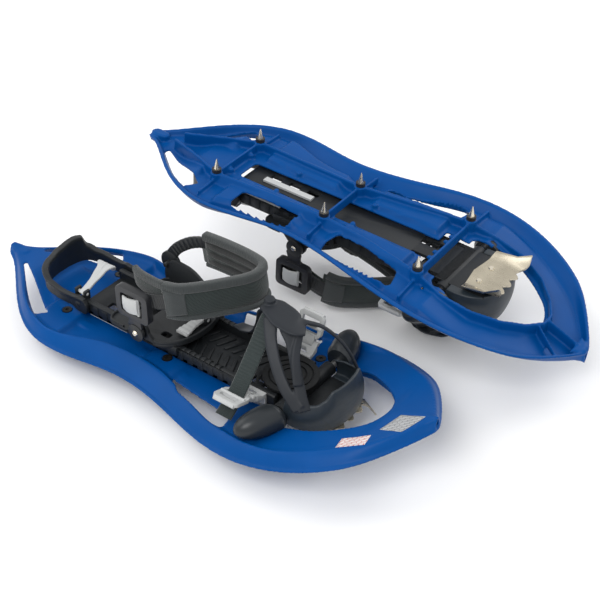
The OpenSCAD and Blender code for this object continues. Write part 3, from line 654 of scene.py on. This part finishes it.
def film(corners):
    """A label that lies on the deck's curved face between four corners."""
    count = 10
    a, b, c, d = [Vector(p) for p in corners]
    top, low = [], []
    for i in range(count + 1):
        for j in range(count + 1):
            p = mix(mix(a, b, i / count), mix(d, c, i / count), j / count)
            z = edge_z(p.x) + top_z(p.x, p.y) + FILM_PROUD
            top.append((p.x, p.y, z))
            low.append((p.x, p.y, z - FILM_T))
    n, m = count + 1, len(top)
    faces = [(i * n + j, i * n + j + 1, (i + 1) * n + j + 1, (i + 1) * n + j)
             for i in range(count) for j in range(count)]
    faces += [tuple(m + v for v in reversed(face)) for face in faces]
    ring = list(range(n)) + [i * n + count for i in range(1, n)]
    ring += [count * n + j for j in range(count - 1, -1, -1)] + [i * n for i in range(count - 1, 0, -1)]
    faces += [(p, q, m + q, m + p) for p, q in zip(ring, ring[1:] + ring[:1])]
    return mesh_from(top + low, faces)


def build_deck():
    both("deck_moulding", deck_mesh(), "deck", "deck_blue", ["deck"])
    labels = {"nose_label": ("label_silver", [(254, -31), (261, -5), (287, -2), (277, -28)]),
              "size_label": ("label_white", [(229, -69), (226, -54), (251, -41), (254, -56)])}
    for name, (slot, corners) in labels.items():
        for side in ("right", "left"):
            if f"{side}_{name}" in frame["nodes"]:
                piece(f"{name}_film", film(corners), side, "deck", slot, [name])


build_deck()


# ---------------------------------------------------------------- ankle strap
# The strap's line from above, from the ratchet round the shin to the far arm
PAD_LINE = [(-8, -44.5, 0), (12, -40, 0), (30, -26, 0), (47, -8, 0), (62, 10, 0), (66, 24, 0),
            (60, 38, 0), (42, 45, 0), (16, 50, 0), (-14, 53.5, 0), (-40, 55, 0)]
PAD_LOW, PAD_H, PAD_T, PAD_SLOPE = 66, 42, 9, 7
# The upright shoe's strap stands higher than the one that is pressed down
STRAP_RISE = {"right": 10, "left": 0}


def strapped(name, me, slot, replaces=(), material=None):
    """One copy of a strap piece on each shoe, in the strap's own slope and height."""
    for side, rise in STRAP_RISE.items():
        copy = me.copy()
        copy.transform(Matrix.Translation((0, 0, PAD_LOW + rise))
                       @ Matrix.Rotation(math.radians(-PAD_SLOPE), 4, "Y"))
        obj = piece(name, copy, side, "ankle_strap", slot, replaces, material)


def band(path, low, high, thick, crown, sides=28):
    """A stuffed band that stands on edge along path: crowned faces, and ends that pull in."""
    rings = []
    for i, (p, out) in enumerate(zip(path, sides_of(path))):
        t = i / (len(path) - 1)
        pull = min(ease(t / 0.06), ease((1 - t) / 0.06))
        lo, hi = low(t), high(t)
        squeeze = mix(0.35, 1, pull)
        mid, half = (lo + hi) / 2, (hi - lo) / 2 * mix(0.86, 1, pull)
        ring = []
        for k in range(sides):
            angle = 2 * math.pi * (k + 0.5) / sides
            c, s = math.cos(angle), math.sin(angle)
            wide = (thick / 2 + crown * (1 - abs(s) ** 2) ** 0.5) * squeeze
            ring.append(p + out * (wide * math.copysign(abs(c) ** 0.6, c))
                        + Vector((0, 0, mid + half * math.copysign(abs(s) ** 0.55, s))))
        rings.append(ring)
    return loft(rings)


def wrinkled(me, size, scale, seed):
    """Small folds and dents, as cloth over foam has."""
    me = me.copy()
    for v, normal in zip(me.vertices, [v.normal.copy() for v in me.vertices]):
        wave = noise.noise(v.co * scale + Vector((seed, seed, seed)))
        v.co += normal * (size * wave)
    return me


def ribbed_trim(path, height, thick, wide, pitch):
    """Binding tape along an edge, with ribs across it."""
    fine = spline(path, int(sum((b - a).length for a, b in zip(path, path[1:])) / pitch) * 4)
    heights = [thick + (0.5 if i % 4 < 2 else 0.0) for i in range(len(fine))]
    lifted = [p + Vector((0, 0, height)) for p in fine]
    return ribbon(lifted, sides_of(fine), wide, heights, 0.5)


def build_ankle_strap():
    path = spline(PAD_LINE, 90)

    def low(t):
        return 1 + 5 * math.sin(math.pi * t) ** 2

    def high(t):
        return PAD_H - 5 + 4 * math.sin(math.pi * t)

    strapped("ankle_pad_body", wrinkled(band(path, low, high, PAD_T - 3.5, 1.6), 0.9, 0.06, 3.0),
             "pad_fabric", ["ankle_pad"])
    # The lining shows inside the loop, sewn in three lengthwise channels
    inner = [p - side * (PAD_T / 2 - 1.6) for p, side in zip(path, sides_of(path))]
    channels = [band(inner[3:-3], lambda t, k=k: 5 + 10 * k, lambda t, k=k: 14.5 + 10 * k, 2.2, 1.5,
                     14) for k in range(3)]
    strapped("ankle_pad_lining", joined(channels), "pad_fabric", material="lining")
    line = [p + side * 0.6 for p, side in zip(path, sides_of(path))]
    trims = [ribbed_trim(line[2:-2], height, PAD_T + 1.0, wide, 2.3)
             for height, wide in ((PAD_H - 4.5, 9.5), (3.2, 5.5))]
    strapped("ankle_pad_trim", joined(trims), "pad_fabric", material="trim")
    # Tongue behind the ratchet, with its own rolled edge
    tongue_path = spline([(-60, -30, 0), (-48, -35, 0), (-30, -39, 0), (-8, -41, 0), (8, -36, 0)], 40)
    tongue = band(tongue_path, lambda t: 14 + 2 * t, lambda t: PAD_H - 1 - 5 * t, 3.2, 1.5)
    strapped("ankle_tongue_body", wrinkled(tongue, 0.6, 0.07, 9.0), "pad_fabric", ["ankle_tongue"])
    edge = ribbed_trim(tongue_path[2:-6], PAD_H - 6.5, 6.4, 9.5, 2.3)
    strapped("ankle_tongue_trim", edge, "pad_fabric", material="trim")
    # Ladder strap: a smooth strap with teeth across its outer face
    middle = PAD_H / 2
    ladder_path = spline([(-60, -50.8, middle - 4), (-36, -50.8, middle - 4), (-14, -50.4, middle - 2),
                          (-2, -48.6, middle), (10, -45.6, middle)], 80)
    teeth = [1.9 + (1.1 if i % 4 in (1, 2) else 0) for i in range(len(ladder_path))]
    ladder = ribbon(ladder_path, sides_of(ladder_path), 18, teeth, 0.3)
    strapped("ladder_strap_band", ladder, "strap_black", ["ladder_strap"])
    patch_path = spline([(-1, -49.4, middle), (8, -47.2, middle), (20, -40.2, middle)], 24)
    patch = ribbon(patch_path, sides_of(patch_path), [33 - 7 * i / 24 for i in range(25)], 2.2, 0.4)
    strapped("ladder_patch", patch, "pad_fabric", material="trim")


FAR_RIVET, NEAR_RIVET = Vector((-92, 50, 53)), Vector((-44, -50, 42))
RIVET_R, RIVET_BORE = 3, 3.35


def build_ankle_arm():
    side = 54.5
    line = spline([(-92, side, 53), (-88, side, 66), (-76, side, 80), (-56, side, 94),
                   (-34, side - 1, 102), (-14, side - 0.5, 99)], 96)
    widths = [17 - 3 * ease(i / 30) for i in range(len(line))]
    heights = [3.0 + (1.2 if i > 24 and i % 6 < 3 else 0) for i in range(len(line))]
    parts = [ribbon(line, Vector((0, 1, 0)), widths, heights, 0.35, 14),
             rod((-92, side - 2, 53), (-92, side + 2.2, 53), 13.5, 40),
             rod((-92, 44, 53), (-92, side + 3.2, 53), RIVET_R, 24),
             rod((-44, -52.5, 42), (-44, -57, 42), 10.5, 40),
             rod((-44, -44, 42), (-44, -58, 42), RIVET_R, 24)]
    both("ankle_arm_band", bevelled(joined(parts), 0.5, 2, 40), "ankle_strap",
         "strap_black", ["ankle_arm"], soften=35)
    caps = joined([rod((-92, side + 3, 53), (-92, side + 4.2, 53), 3.4, 24, 2.4),
                   rod((-44, -57.5, 42), (-44, -58.8, 42), 3.4, 24, 2.4)])
    both("ankle_rivets", caps, "ankle_strap", "strap_black", material="spike_steel", soften=30)


def build_ratchet():
    """Square frame that grips the ladder strap, on a waisted link down to its rivet."""
    outer = rounded_box((-66, 62), (-21, 99), 7)
    window = rounded_box((-59, 69), (-29, 92), 3)
    frame_block = cut(prism(outer, 50.6, 59.2, "xz"), prism(window, 40, 70, "xz"))
    link = prism(round_outline([(-56, 48), (-34, 48), (-36, 58), (-32, 66), (-56, 66), (-52, 58)], 5),
                 52.6, 56.2, "xz")
    for me in (frame_block, link):
        mirrored(me)
    both("ratchet_frame_body", joined([bevelled(frame_block, 1.4, 3), bevelled(link, 0.8, 2)]),
         "ankle_strap", "frame_black", ["ratchet_frame"], soften=40)
    # Lever: a curved thumb plate hinged at its front
    rings = []
    for i in range(13):
        t = i / 12
        x = mix(-35, -55.5, t)
        bow = 2.6 * math.sin(math.pi * t) + 1.2 * t
        half, thick = mix(9.6, 8.4, t), mix(3.4, 1.6, t)
        front, rear = -58 - bow - thick / 2, -58 - bow + thick / 2
        rings.append([(x, front, 81 - half), (x, front - 0.9, 81), (x, front, 81 + half),
                      (x, rear, 81 + half), (x, rear, 81 - half)])
    plate = bevelled(loft(rings), 0.5, 2, 40)
    pin = rod((-36, -57, 67), (-36, -57, 95), 1.6, 20)
    both("ratchet_lever_plate", joined([plate, pin]), "ratchet_lever", "light_grey",
         ["ratchet_lever"], soften=40)


# ---------------------------------------------------------------- toe strap, buckles and anchors
STRAP_X = 102
WEB_W = 20


def build_toe_strap():
    """Webbing from its free tail through the outer buckle, over the instep and to the inner buckle."""
    route = [(-86, 24), (-80, 28), (-72, 34), (-62, 42), (-48, 57), (-30, 78), (-14, 98), (-3, 107),
             (8, 106), (22, 92), (38, 73), (50, 60), (60, 53)]
    line = spline([(STRAP_X, y, z) for y, z in route], 4 * 84)
    ups = [Vector((1, 0, 0)).cross(ahead) for ahead in headings(line)]
    heights = [1.2 + (1.4 if i % 4 < 2 else 0) for i in range(len(line))]
    web = ribbon(line, ups, WEB_W, heights, 0.4)
    both("toe_strap_web", web, "binding", "webbing", ["toe_strap"])


def buckle_mesh(s, lean):
    """Ladder-lock buckle with rounded shoulders, two slots and a curled lip at its tip."""
    outline = round_outline([(-10, 4), (-16, 9), (-16, 29), (-12, 32), (12, 32), (16, 29), (16, 9),
                             (10, 4)], 3)
    slots = [rounded_box((-11, a), (11, b), 1.2) for a, b in ((10, 15), (19, 26))]
    plate = cut(prism(outline, -2.2, 2.2, "xz"), *[prism(o, -10, 10, "xz") for o in slots])
    eye = cut(prism(rounded_box((-9.6, -4), (9.6, 8), 0.5), -3, 3, "xz"),
              rod((-40, 0, 0), (40, 0, 0), 2.3, 24))
    lip = rod((-13, -1.6, 30.4), (13, -1.6, 30.4), 2.6, 16)
    bar = rod((-15, 1.4, 17), (15, 1.4, 17), 2.2, 16)
    me = joined([bevelled(plate, 0.9, 3), bevelled(eye, 0.5, 2), lip, bar])
    if s > 0:
        mirrored(me)
    me.transform(Matrix.Translation((STRAP_X, s * 54, 34))
                 @ Matrix.Rotation(math.radians(-s * lean), 4, "X"))
    return me


def anchor_mesh(s):
    """Bracket from the plate's rail out to the buckle's pin, pierced by an oval or a U-shaped slot."""
    arm = [(36, 13), (39, 15), (39, 24), (57, 29), (58, 33), (55, 36), (50, 35), (42, 29), (36, 29)]
    body = prism(arm, STRAP_X - 16, STRAP_X + 16, "yz")
    tools = [block((STRAP_X - 10.2, 48, 20), (STRAP_X + 10.2, 70, 50))]
    hole = round_outline([(STRAP_X - 9, 40.5), (STRAP_X + 9, 40.5), (STRAP_X + 6, 46),
                          (STRAP_X - 6, 46)], 3)
    tools.append(prism(hole, 0, 60))
    side = round_outline([(STRAP_X - 22, 39.5), (STRAP_X - 10, 60), (STRAP_X - 22, 62)], 2)
    tools.append(prism(side, 0, 60))
    tools.append(prism([(2 * STRAP_X - x, y) for x, y in reversed(side)], 0, 60))
    pin = rod((STRAP_X - 15, 54, 34), (STRAP_X + 15, 54, 34), 2.2, 20)
    me = joined([bevelled(cut(body, *tools), 0.7, 2), pin])
    if s < 0:
        mirrored(me)
    return me


def build_buckles():
    for word, s, lean in (("outer", -1, 72), ("inner", 1, 22)):
        both(f"{word}_buckle_body", buckle_mesh(s, lean), f"{word}_buckle", "light_grey",
             [f"{word}_buckle"], soften=40)
        both(f"{word}_anchor_body", anchor_mesh(s), "binding", "light_grey",
             [f"{word}_anchor"], soften=40)


# ---------------------------------------------------------------- toe harness and cup
def build_harness():
    """Rubber lattice over the instep: a pad with a knob, two outer legs, a far leg and a rear flap."""
    def leg(points, widths, thick, up):
        count = 40
        line = spline(points, count)
        wide = [through([(i / (len(widths) - 1), w) for i, w in enumerate(widths)], k / count)
                for k in range(count + 1)]
        return ribbon(line, Vector(up), wide, thick, 0.45, 14)

    parts = [
        leg([(92, 0, 110.5), (104, -2, 110.5), (118, -5, 108), (132, -6, 105), (141, 0, 102)],
            [22, 30, 34, 30, 24], 4.0, (0.1, 0, 1)),
        leg([(128, -14, 105), (139, -20, 92), (152, -30, 72), (166, -40, 52), (174, -45, 40)],
            [16, 12, 11, 12, 14], 3.6, (0.7, -0.6, 0.5)),
        leg([(106, -12, 107), (116, -25, 91), (132, -37, 73), (150, -45, 56), (169, -48, 42)],
            [16, 13, 12, 12, 14], 3.6, (0.5, -0.8, 0.4)),
        leg([(140, -8, 101), (148, -26, 84), (160, -38, 62)], [8, 9, 10], 3.6, (0.7, -0.6, 0.5)),
        leg([(136, 6, 104), (150, 16, 98), (164, 26, 82), (174, 33, 62), (181, 37, 42)],
            [12, 8, 7, 7, 10], 3.4, (0.5, 0.8, 0.5)),
        leg([(98, 2, 110), (88, 5, 98), (81, 12, 78), (66, 20, 52), (42, 29, 35), (24, 32, 31)],
            [18, 22, 24, 24, 20, 16], 3.0, (-0.4, 0.3, 1)),
        rod((94, 1, 109), (95, 1, 118), 6.5, 20, 5.5),
    ]
    both("toe_harness_web", fused(joined(parts), 0.9, 6), "binding", "harness_grey", ["toe_harness"])


def build_toe_cup():
    """Open-backed shell: its rim is low at the sides and rises in front of the toes."""
    base, count = 14, 60
    line = spline([(148, -47, 0), (160, -47.5, 0), (176, -44, 0), (187, -36, 0), (194, -25, 0),
                   (198, -10, 0), (198, 10, 0), (194, 26, 0), (186, 37, 0), (172, 44, 0), (160, 46.5, 0),
                   (148, 46, 0)], count)
    rim = [(0.0, 28), (0.12, 30), (0.25, 31), (0.31, 35), (0.39, 44), (0.5, 44.5), (0.63, 45),
           (0.73, 33), (0.88, 27), (1.0, 24)]
    rings = []
    for i, (p, out) in enumerate(zip(line, sides_of(line))):
        if out.dot(Vector((p.x - 150, p.y, 0))) < 0:
            out = -out
        top = through(rim, i / count)
        outer, inner = [], []
        for k in range(9):
            t = k / 8
            bulge = 3.2 * math.sin(math.pi * t) - 3.5 * t
            z = base + top * t
            outer.append(Vector((p.x, p.y, z)) + out * bulge)
            inner.append(Vector((p.x, p.y, z)) + out * (bulge - 3.0))
        rings.append(outer + inner[::-1])
    wall = loft(rings)
    floor = [(p.x, p.y) for p in line]
    sole = cut(prism(floor, base - 1, base + 4), block((120, -36.3, 0), (188.3, 36.3, 60)))
    both("toe_cup_shell", fused(joined([wall, sole]), 0.9, 3), "binding", "cup_grey", ["toe_cup"])


def build_crampon():
    """Bent steel plate under the cup with wavy front teeth and two turned-down corners."""
    rings = []
    teeth = 5
    for i in range(61):
        y = mix(-40, 40, i / 60)
        u = abs(y) / 40
        down = 13 * ease((u - 0.62) / 0.38)
        front = 199 + 3.0 * math.cos(math.pi * y / 40 * teeth) + 9 * ease((u - 0.7) / 0.3)
        back = 156 + 6 * u
        tip = 6 * ease((u - 0.75) / 0.25)
        rings.append([(back, y, 14 - 0.4 * down), (mix(back, front, 0.6), y, 14 - 0.7 * down),
                      (front, y * (1 - 0.04 * u), 13.2 - down - tip),
                      (front - 0.6, y * (1 - 0.04 * u), 11.4 - down - tip),
                      (mix(back, front, 0.6), y, 12 - 0.7 * down), (back, y, 12 - 0.4 * down)])
    both("crampon_plate", loft(rings), "binding", "crampon_steel", ["crampon"], soften=35)
    heads = joined([rod((170, s * 14, 12.2), (170, s * 14, 10.6), 3.4, 24, 2.6) for s in (-1, 1)])
    both("crampon_rivet_heads", heads, "binding", "spike_steel", ["crampon_rivets"], soften=30)


# ---------------------------------------------------------------- pivot covers
def build_covers():
    parts = []
    for s in (-1, 1):
        rings = []
        for k in range(25):
            t = k / 24
            x = mix(144, 131, t)
            y = s * mix(54, 101, t)
            r = 18 * (1 - max(t - 0.25, 0) ** 2.4 / 0.75 ** 2.4 * 0.995) ** 0.55
            if t < 0.1:
                r *= mix(0.86, 1, ease(t / 0.1))
            lift = 24 + 2.5 * t
            turns = [(math.cos(2 * math.pi * j / 40), math.sin(2 * math.pi * j / 40))
                     for j in range(40)]
            rings.append([(x + r * 0.95 * across, y, lift + r * (0.95 if up > 0 else 0.72) * up)
                          for across, up in turns])
        parts.append(loft(rings))
    both("pivot_cover_shells", joined(parts), "deck", "cover_grey", ["pivot_covers"], soften=50)


# ---------------------------------------------------------------- plate, latch and heel lift
RAIL_IN, RAIL_OUT, RAIL_TOP = 29, 36, 29
PLATE_LOW, PLATE_TOP = 13, 17
HINGE_X = -148


def build_plate():
    """Channel-shaped plate with ribbed rails, a scale of slots, chevrons and the hinge barrel."""
    rail = [(RAIL_IN, PLATE_LOW), (RAIL_OUT, PLATE_LOW), (RAIL_OUT, RAIL_TOP - 1.5),
            (RAIL_OUT - 1.5, RAIL_TOP), (RAIL_IN + 1.5, RAIL_TOP), (RAIL_IN, RAIL_TOP - 1.5)]
    parts = []
    floor = rounded_box((-152, -RAIL_OUT), (141, RAIL_OUT), 4)
    holes = []
    for x in (-118, -92, -66):
        for s in (-1, 1):
            holes.append(rounded_box((x - 8, s * 14 - 5), (x + 8, s * 14 + 5), 2))
    for s in (-1, 1):
        holes.append(rounded_box((82, s * 15 - 6), (108, s * 15 + 6), 2))
    plate = cut(prism(floor, PLATE_LOW, PLATE_TOP), *[prism(h, 0, 40) for h in holes])
    parts.append(bevelled(plate, 0.5, 2))
    for s in (-1, 1):
        side = prism([(s * y, z) for y, z in rail], -152, 128, "yz")
        notches = [block((x, s * 32.5 - 6, 27.6), (x + 3, s * 32.5 + 6, 40)) for x in range(-16, 60, 7)]
        pins = rod((HINGE_X, -60, 24), (HINGE_X, 60, 24), 2.55, 24)
        parts.append(bevelled(cut(side, pins, *notches), 0.6, 2))
        for x in range(-50, 84, 11):
            chevron = [(x, s * 3), (x + 4, s * 3), (x + 13, s * 24), (x + 9, s * 24)]
            parts.append(bevelled(prism(chevron, PLATE_TOP - 1, 18.8), 0.6, 2))
        for x in range(-144, 122, 14):
            parts.append(bevelled(block((x, s * 36 - 0.7, 14.5), (x + 8, s * 36 + 0.7, 26)), 0.4, 2))
        for x in (92, 108):
            parts.append(bevelled(block((x, s * 22 - 3, 16), (x + 10, s * 22 + 3, 22)), 0.6, 2))
    barrel = rod((140, -44, 21), (140, 44, 21), 8, 48)
    nose = block((140, -36, 14), (188, 36, 18))
    parts += [bevelled(cut(barrel, rod((140, -60, 21), (140, 60, 21), 4.05, 32)), 0.6, 2, 60),
              bevelled(nose, 0.5, 2), bevelled(block((127, -36, 13), (141, 36, 19)), 0.8, 2)]
    for a in (-1, 1):
        lug = block((-150 + a * 6.6 - 1.5, -35, 27), (-150 + a * 6.6 + 1.5, -27, 38.5))
        parts.append(bevelled(cut(lug, rod((-170, -31, 34), (-130, -31, 34), 2.05, 20)), 0.8, 2))
    both("binding_plate_body", joined(parts), "binding", "plate_grey", ["binding_plate"], soften=35)


def build_latch():
    """Arched lever: it rises from its pin to a broad crest and bends down again beyond it."""
    line = spline([(-149, -34, 33.5), (-148, -26, 37), (-146, -14, 45), (-145, -3, 52), (-146, 5, 53),
                   (-150, 11, 47), (-153, 15, 40)], 48)
    widths = [through([(0, 9), (0.25, 9), (0.45, 14), (0.68, 23), (0.85, 21), (1, 13)], i / 48)
              for i in range(49)]
    ups = [Vector((1, 0, 0)).cross(ahead) for ahead in headings(line)]
    lever = ribbon(line, ups, widths, [mix(4.2, 2.6, i / 48) for i in range(49)], 0.4, 14)
    ridge = ribbon([p + up * 1.6 for p, up in zip(line[4:34], ups[4:34])], ups[4:34],
                   [mix(4, 2, i / 29) for i in range(30)], 2.2, 0.5, 8)
    pin = rod((-158.5, -31, 34), (-141.5, -31, 34), 2, 20)
    both("latch_lever_spoon", fused(joined([lever, ridge, pin]), 0.7, 3), "latch_lever",
         "light_grey", ["latch_lever"])


def build_heel_lift():
    """Hoop: two side arms and a tall bowed back wall, all one moulding with thick edges."""
    rings, path = [], []
    for s in (-1, 1):
        arm = [(-139, s * 38.8, 0), (-158, s * 38.9, 0), (-176, s * 39.2, 0), (-192, s * 38.2, 0),
               (-204, s * 34, 0), (-211, s * 26, 0), (-214.5, s * 12, 0)]
        path += arm if s < 0 else arm[::-1]
    path.insert(7, (-215.2, 0, 0))
    line = spline(path, 96)
    height = [(0, 15), (0.12, 14), (0.22, 17), (0.32, 24), (0.4, 27), (0.5, 31), (0.62, 35),
              (0.66, 34), (0.7, 22), (0.78, 16), (0.9, 14), (1, 15)]
    for i, (p, out) in enumerate(zip(line, sides_of(line))):
        t = i / 96
        back = ease(min(t / 0.35, (1 - t) / 0.3))
        top, low = through(height, t), -2 * (1 - back)
        flare = 2.5 * back
        lip, curl = 1.6 + flare * 0.4, -3.4 - flare * 0.6
        section = [(-2.4, low), (2.4, low), (2.4, top * 0.5), (2.4 + flare * 0.4, top - 4), (lip, top),
                   (curl, top - 0.6), (curl, top - 3.4), (-2.4, top - 6.5)]
        rings.append([p + out * a + Vector((0, 0, 19 + b)) for a, b in section])
    parts = [loft(rings)]
    for s in (-1, 1):
        parts.append(rod((HINGE_X, s * 36.4, 24), (HINGE_X, s * 41.6, 24), 10.5, 32))
        parts.append(rod((HINGE_X, s * 28.8, 24), (HINGE_X, s * 42.6, 24), 2.5, 20))
        cheek = round_outline([(-151, 14), (-137, 13), (-134, 24), (-140, 34), (-152, 34)], 4)
        parts.append(prism(cheek, s * 39 - 2.4, s * 39 + 2.4, "xz"))
    both("heel_lift_hoop", fused(joined(parts), 0.9), "heel_lift", "lift_black", ["heel_lift"])


def build_carriage():
    """Heel plate with a rounded front, a raised rim, two ears, side clamps and a window for the scale."""
    angles = [math.pi * (0.5 - k / 24) for k in range(25)]
    curve = [(-26 + 32 * math.cos(a), 50 * math.sin(a)) for a in angles]
    rim = [(-96, -40), (-96, 40), (-92, 47), (-86, 50)] + curve + [(-86, -50), (-92, -47)]
    holes = [rounded_box((-80, -14), (-58, 14), 3), rounded_box((-30, -34), (-18, -26), 3)]
    plate = cut(prism(rim, 29.3, 33.3), *[prism(h, 0, 60) for h in holes])
    parts = [bevelled(plate, 0.8, 3)]
    lip = spline([(x * 0.97 - 1, y * 0.965, 34.4) for x, y in curve], 64)
    tall = [6.0 - 2.5 * abs(i / 64 - 0.5) for i in range(65)]
    parts.append(ribbon(lip, UP, 2.8, tall, 0.6, 10))
    for s in (-1, 1):
        clamp = block((-86, s * 38.3 - 2, 20.3), (-2, s * 38.3 + 2, 31))
        parts.append(bevelled(clamp, 0.8, 2))
        back = spline([(-94, s * 30, 34), (-94, s * 40, 34), (-88, s * 47.5, 34), (-70, s * 48.4, 34)], 24)
        parts.append(ribbon(back, UP, 2.6, 3.4, 0.7, 8))
    # The far wall is a tall arch, and the near one a round ear
    far = round_outline([(-95, 31), (-95, 48), (-84, 64), (-54, 62), (-36, 50), (-24, 31)], 14)
    near = [(-66, 31), (-22, 31)] + arc(-44, 42, 11.5, 0, 180, 20)
    for rivet, outline, s in ((FAR_RIVET, far, 1), (NEAR_RIVET, near, -1)):
        ear = prism(outline, s * 46.1, s * 50, "xz")
        bore = rod((rivet.x, s * 40, rivet.z), (rivet.x, s * 56, rivet.z), RIVET_BORE, 24)
        parts.append(bevelled(cut(ear, bore), 0.7, 2))
    for a in (-1, 1):
        lug = block((-8 + a * 7.6 - 1.5, 6, 30.3), (-8 + a * 7.6 + 1.5, 14, 42.3))
        parts.append(bevelled(cut(lug, rod((-30, 10, 39.3), (20, 10, 39.3), 2.05, 20)), 0.7, 2))
    both("heel_carriage_body", joined(parts), "heel_carriage", "plate_grey", ["heel_carriage"], soften=35)
    # Catch: a grooved thumb lever
    rings = []
    for k in range(25):
        t = k / 24
        y = mix(13, -24, t)
        half = mix(5.4, 7.5, ease((t - 0.5) / 0.4))
        rise = 39.3 - 1.5 * t + (0.7 if k % 4 < 2 and t > 0.35 else 0)
        section = [(-half, -1.8), (half, -1.8), (half, 1.6), (0, 2.6), (-half, 1.6)]
        rings.append([(x - 8, y, rise + z) for x, z in section])
    catch = joined([bevelled(loft(rings), 0.4, 2, 40), rod((-17, 10, 39.3), (1, 10, 39.3), 2, 20)])
    both("carriage_catch_lever", catch, "carriage_catch", "light_grey", ["carriage_catch"], soften=45)


build_ankle_strap()
build_ankle_arm()
build_ratchet()
build_toe_strap()
build_buckles()
build_harness()
build_toe_cup()
build_crampon()
build_covers()
build_plate()
build_latch()
build_heel_lift()
build_carriage()


# ---------------------------------------------------------------- floor, light and camera
# The camera looks down on the pair from the noses' end and the right shoe's outer side
LOOK_TURN, LOOK_HEIGHT, LOOK_FAR = 37.41, 36.97, 1.5
LOOK_AT = Vector((25.74, 141.11, 0)) * MM
LENS, SENSOR = 77.77, 36
LIGHTS = (("key", (0.5, -1.6, 2.0), 1.2, 26), ("fill", (-1.6, -0.6, 1.6), 1.6, 12),
          ("rim", (0.6, 1.8, 1.4), 1.4, 14))


def build_stage():
    lo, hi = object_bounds()
    bpy.ops.mesh.primitive_plane_add(size=12, location=((lo.x + hi.x) / 2, (lo.y + hi.y) / 2, lo.z))
    floor = bpy.context.object
    floor.name = "floor"
    floor.data.materials.append(node_material("floor", (0.92, 0.92, 0.92), 0.9, specular=0.1)[0])
    world = bpy.data.worlds.new("studio")
    bpy.context.scene.world = world
    world.use_nodes = True
    world.node_tree.nodes["Background"].inputs["Color"].default_value = (1, 1, 1, 1)
    world.node_tree.nodes["Background"].inputs["Strength"].default_value = 0.85
    for name, spot, size, power in LIGHTS:
        light = bpy.data.lights.new(name, "AREA")
        light.size = size
        light.energy = power
        obj = bpy.data.objects.new(name, light)
        obj.location = spot
        obj.rotation_mode = "QUATERNION"
        obj.rotation_quaternion = (-Vector(spot)).to_track_quat("-Z", "Y")
        bpy.context.scene.collection.objects.link(obj)


def build_camera():
    origin = PLACE["right", "deck"] @ Vector((0, 0, 0))
    target = origin + LOOK_AT
    turn, height = math.radians(LOOK_TURN), math.radians(LOOK_HEIGHT)
    back = Vector((math.sin(turn) * math.cos(height), -math.cos(turn) * math.cos(height),
                   math.sin(height)))
    data = bpy.data.cameras.new("camera")
    data.sensor_width = SENSOR
    data.lens = LENS
    cam = bpy.data.objects.new("camera", data)
    cam.location = target + back * LOOK_FAR
    cam.rotation_mode = "QUATERNION"
    cam.rotation_quaternion = (-back).to_track_quat("-Z", "Y")
    bpy.context.scene.collection.objects.link(cam)
    bpy.context.scene.camera = cam


bpy.context.scene.view_settings.view_transform = "Standard"
build_stage()
build_camera()
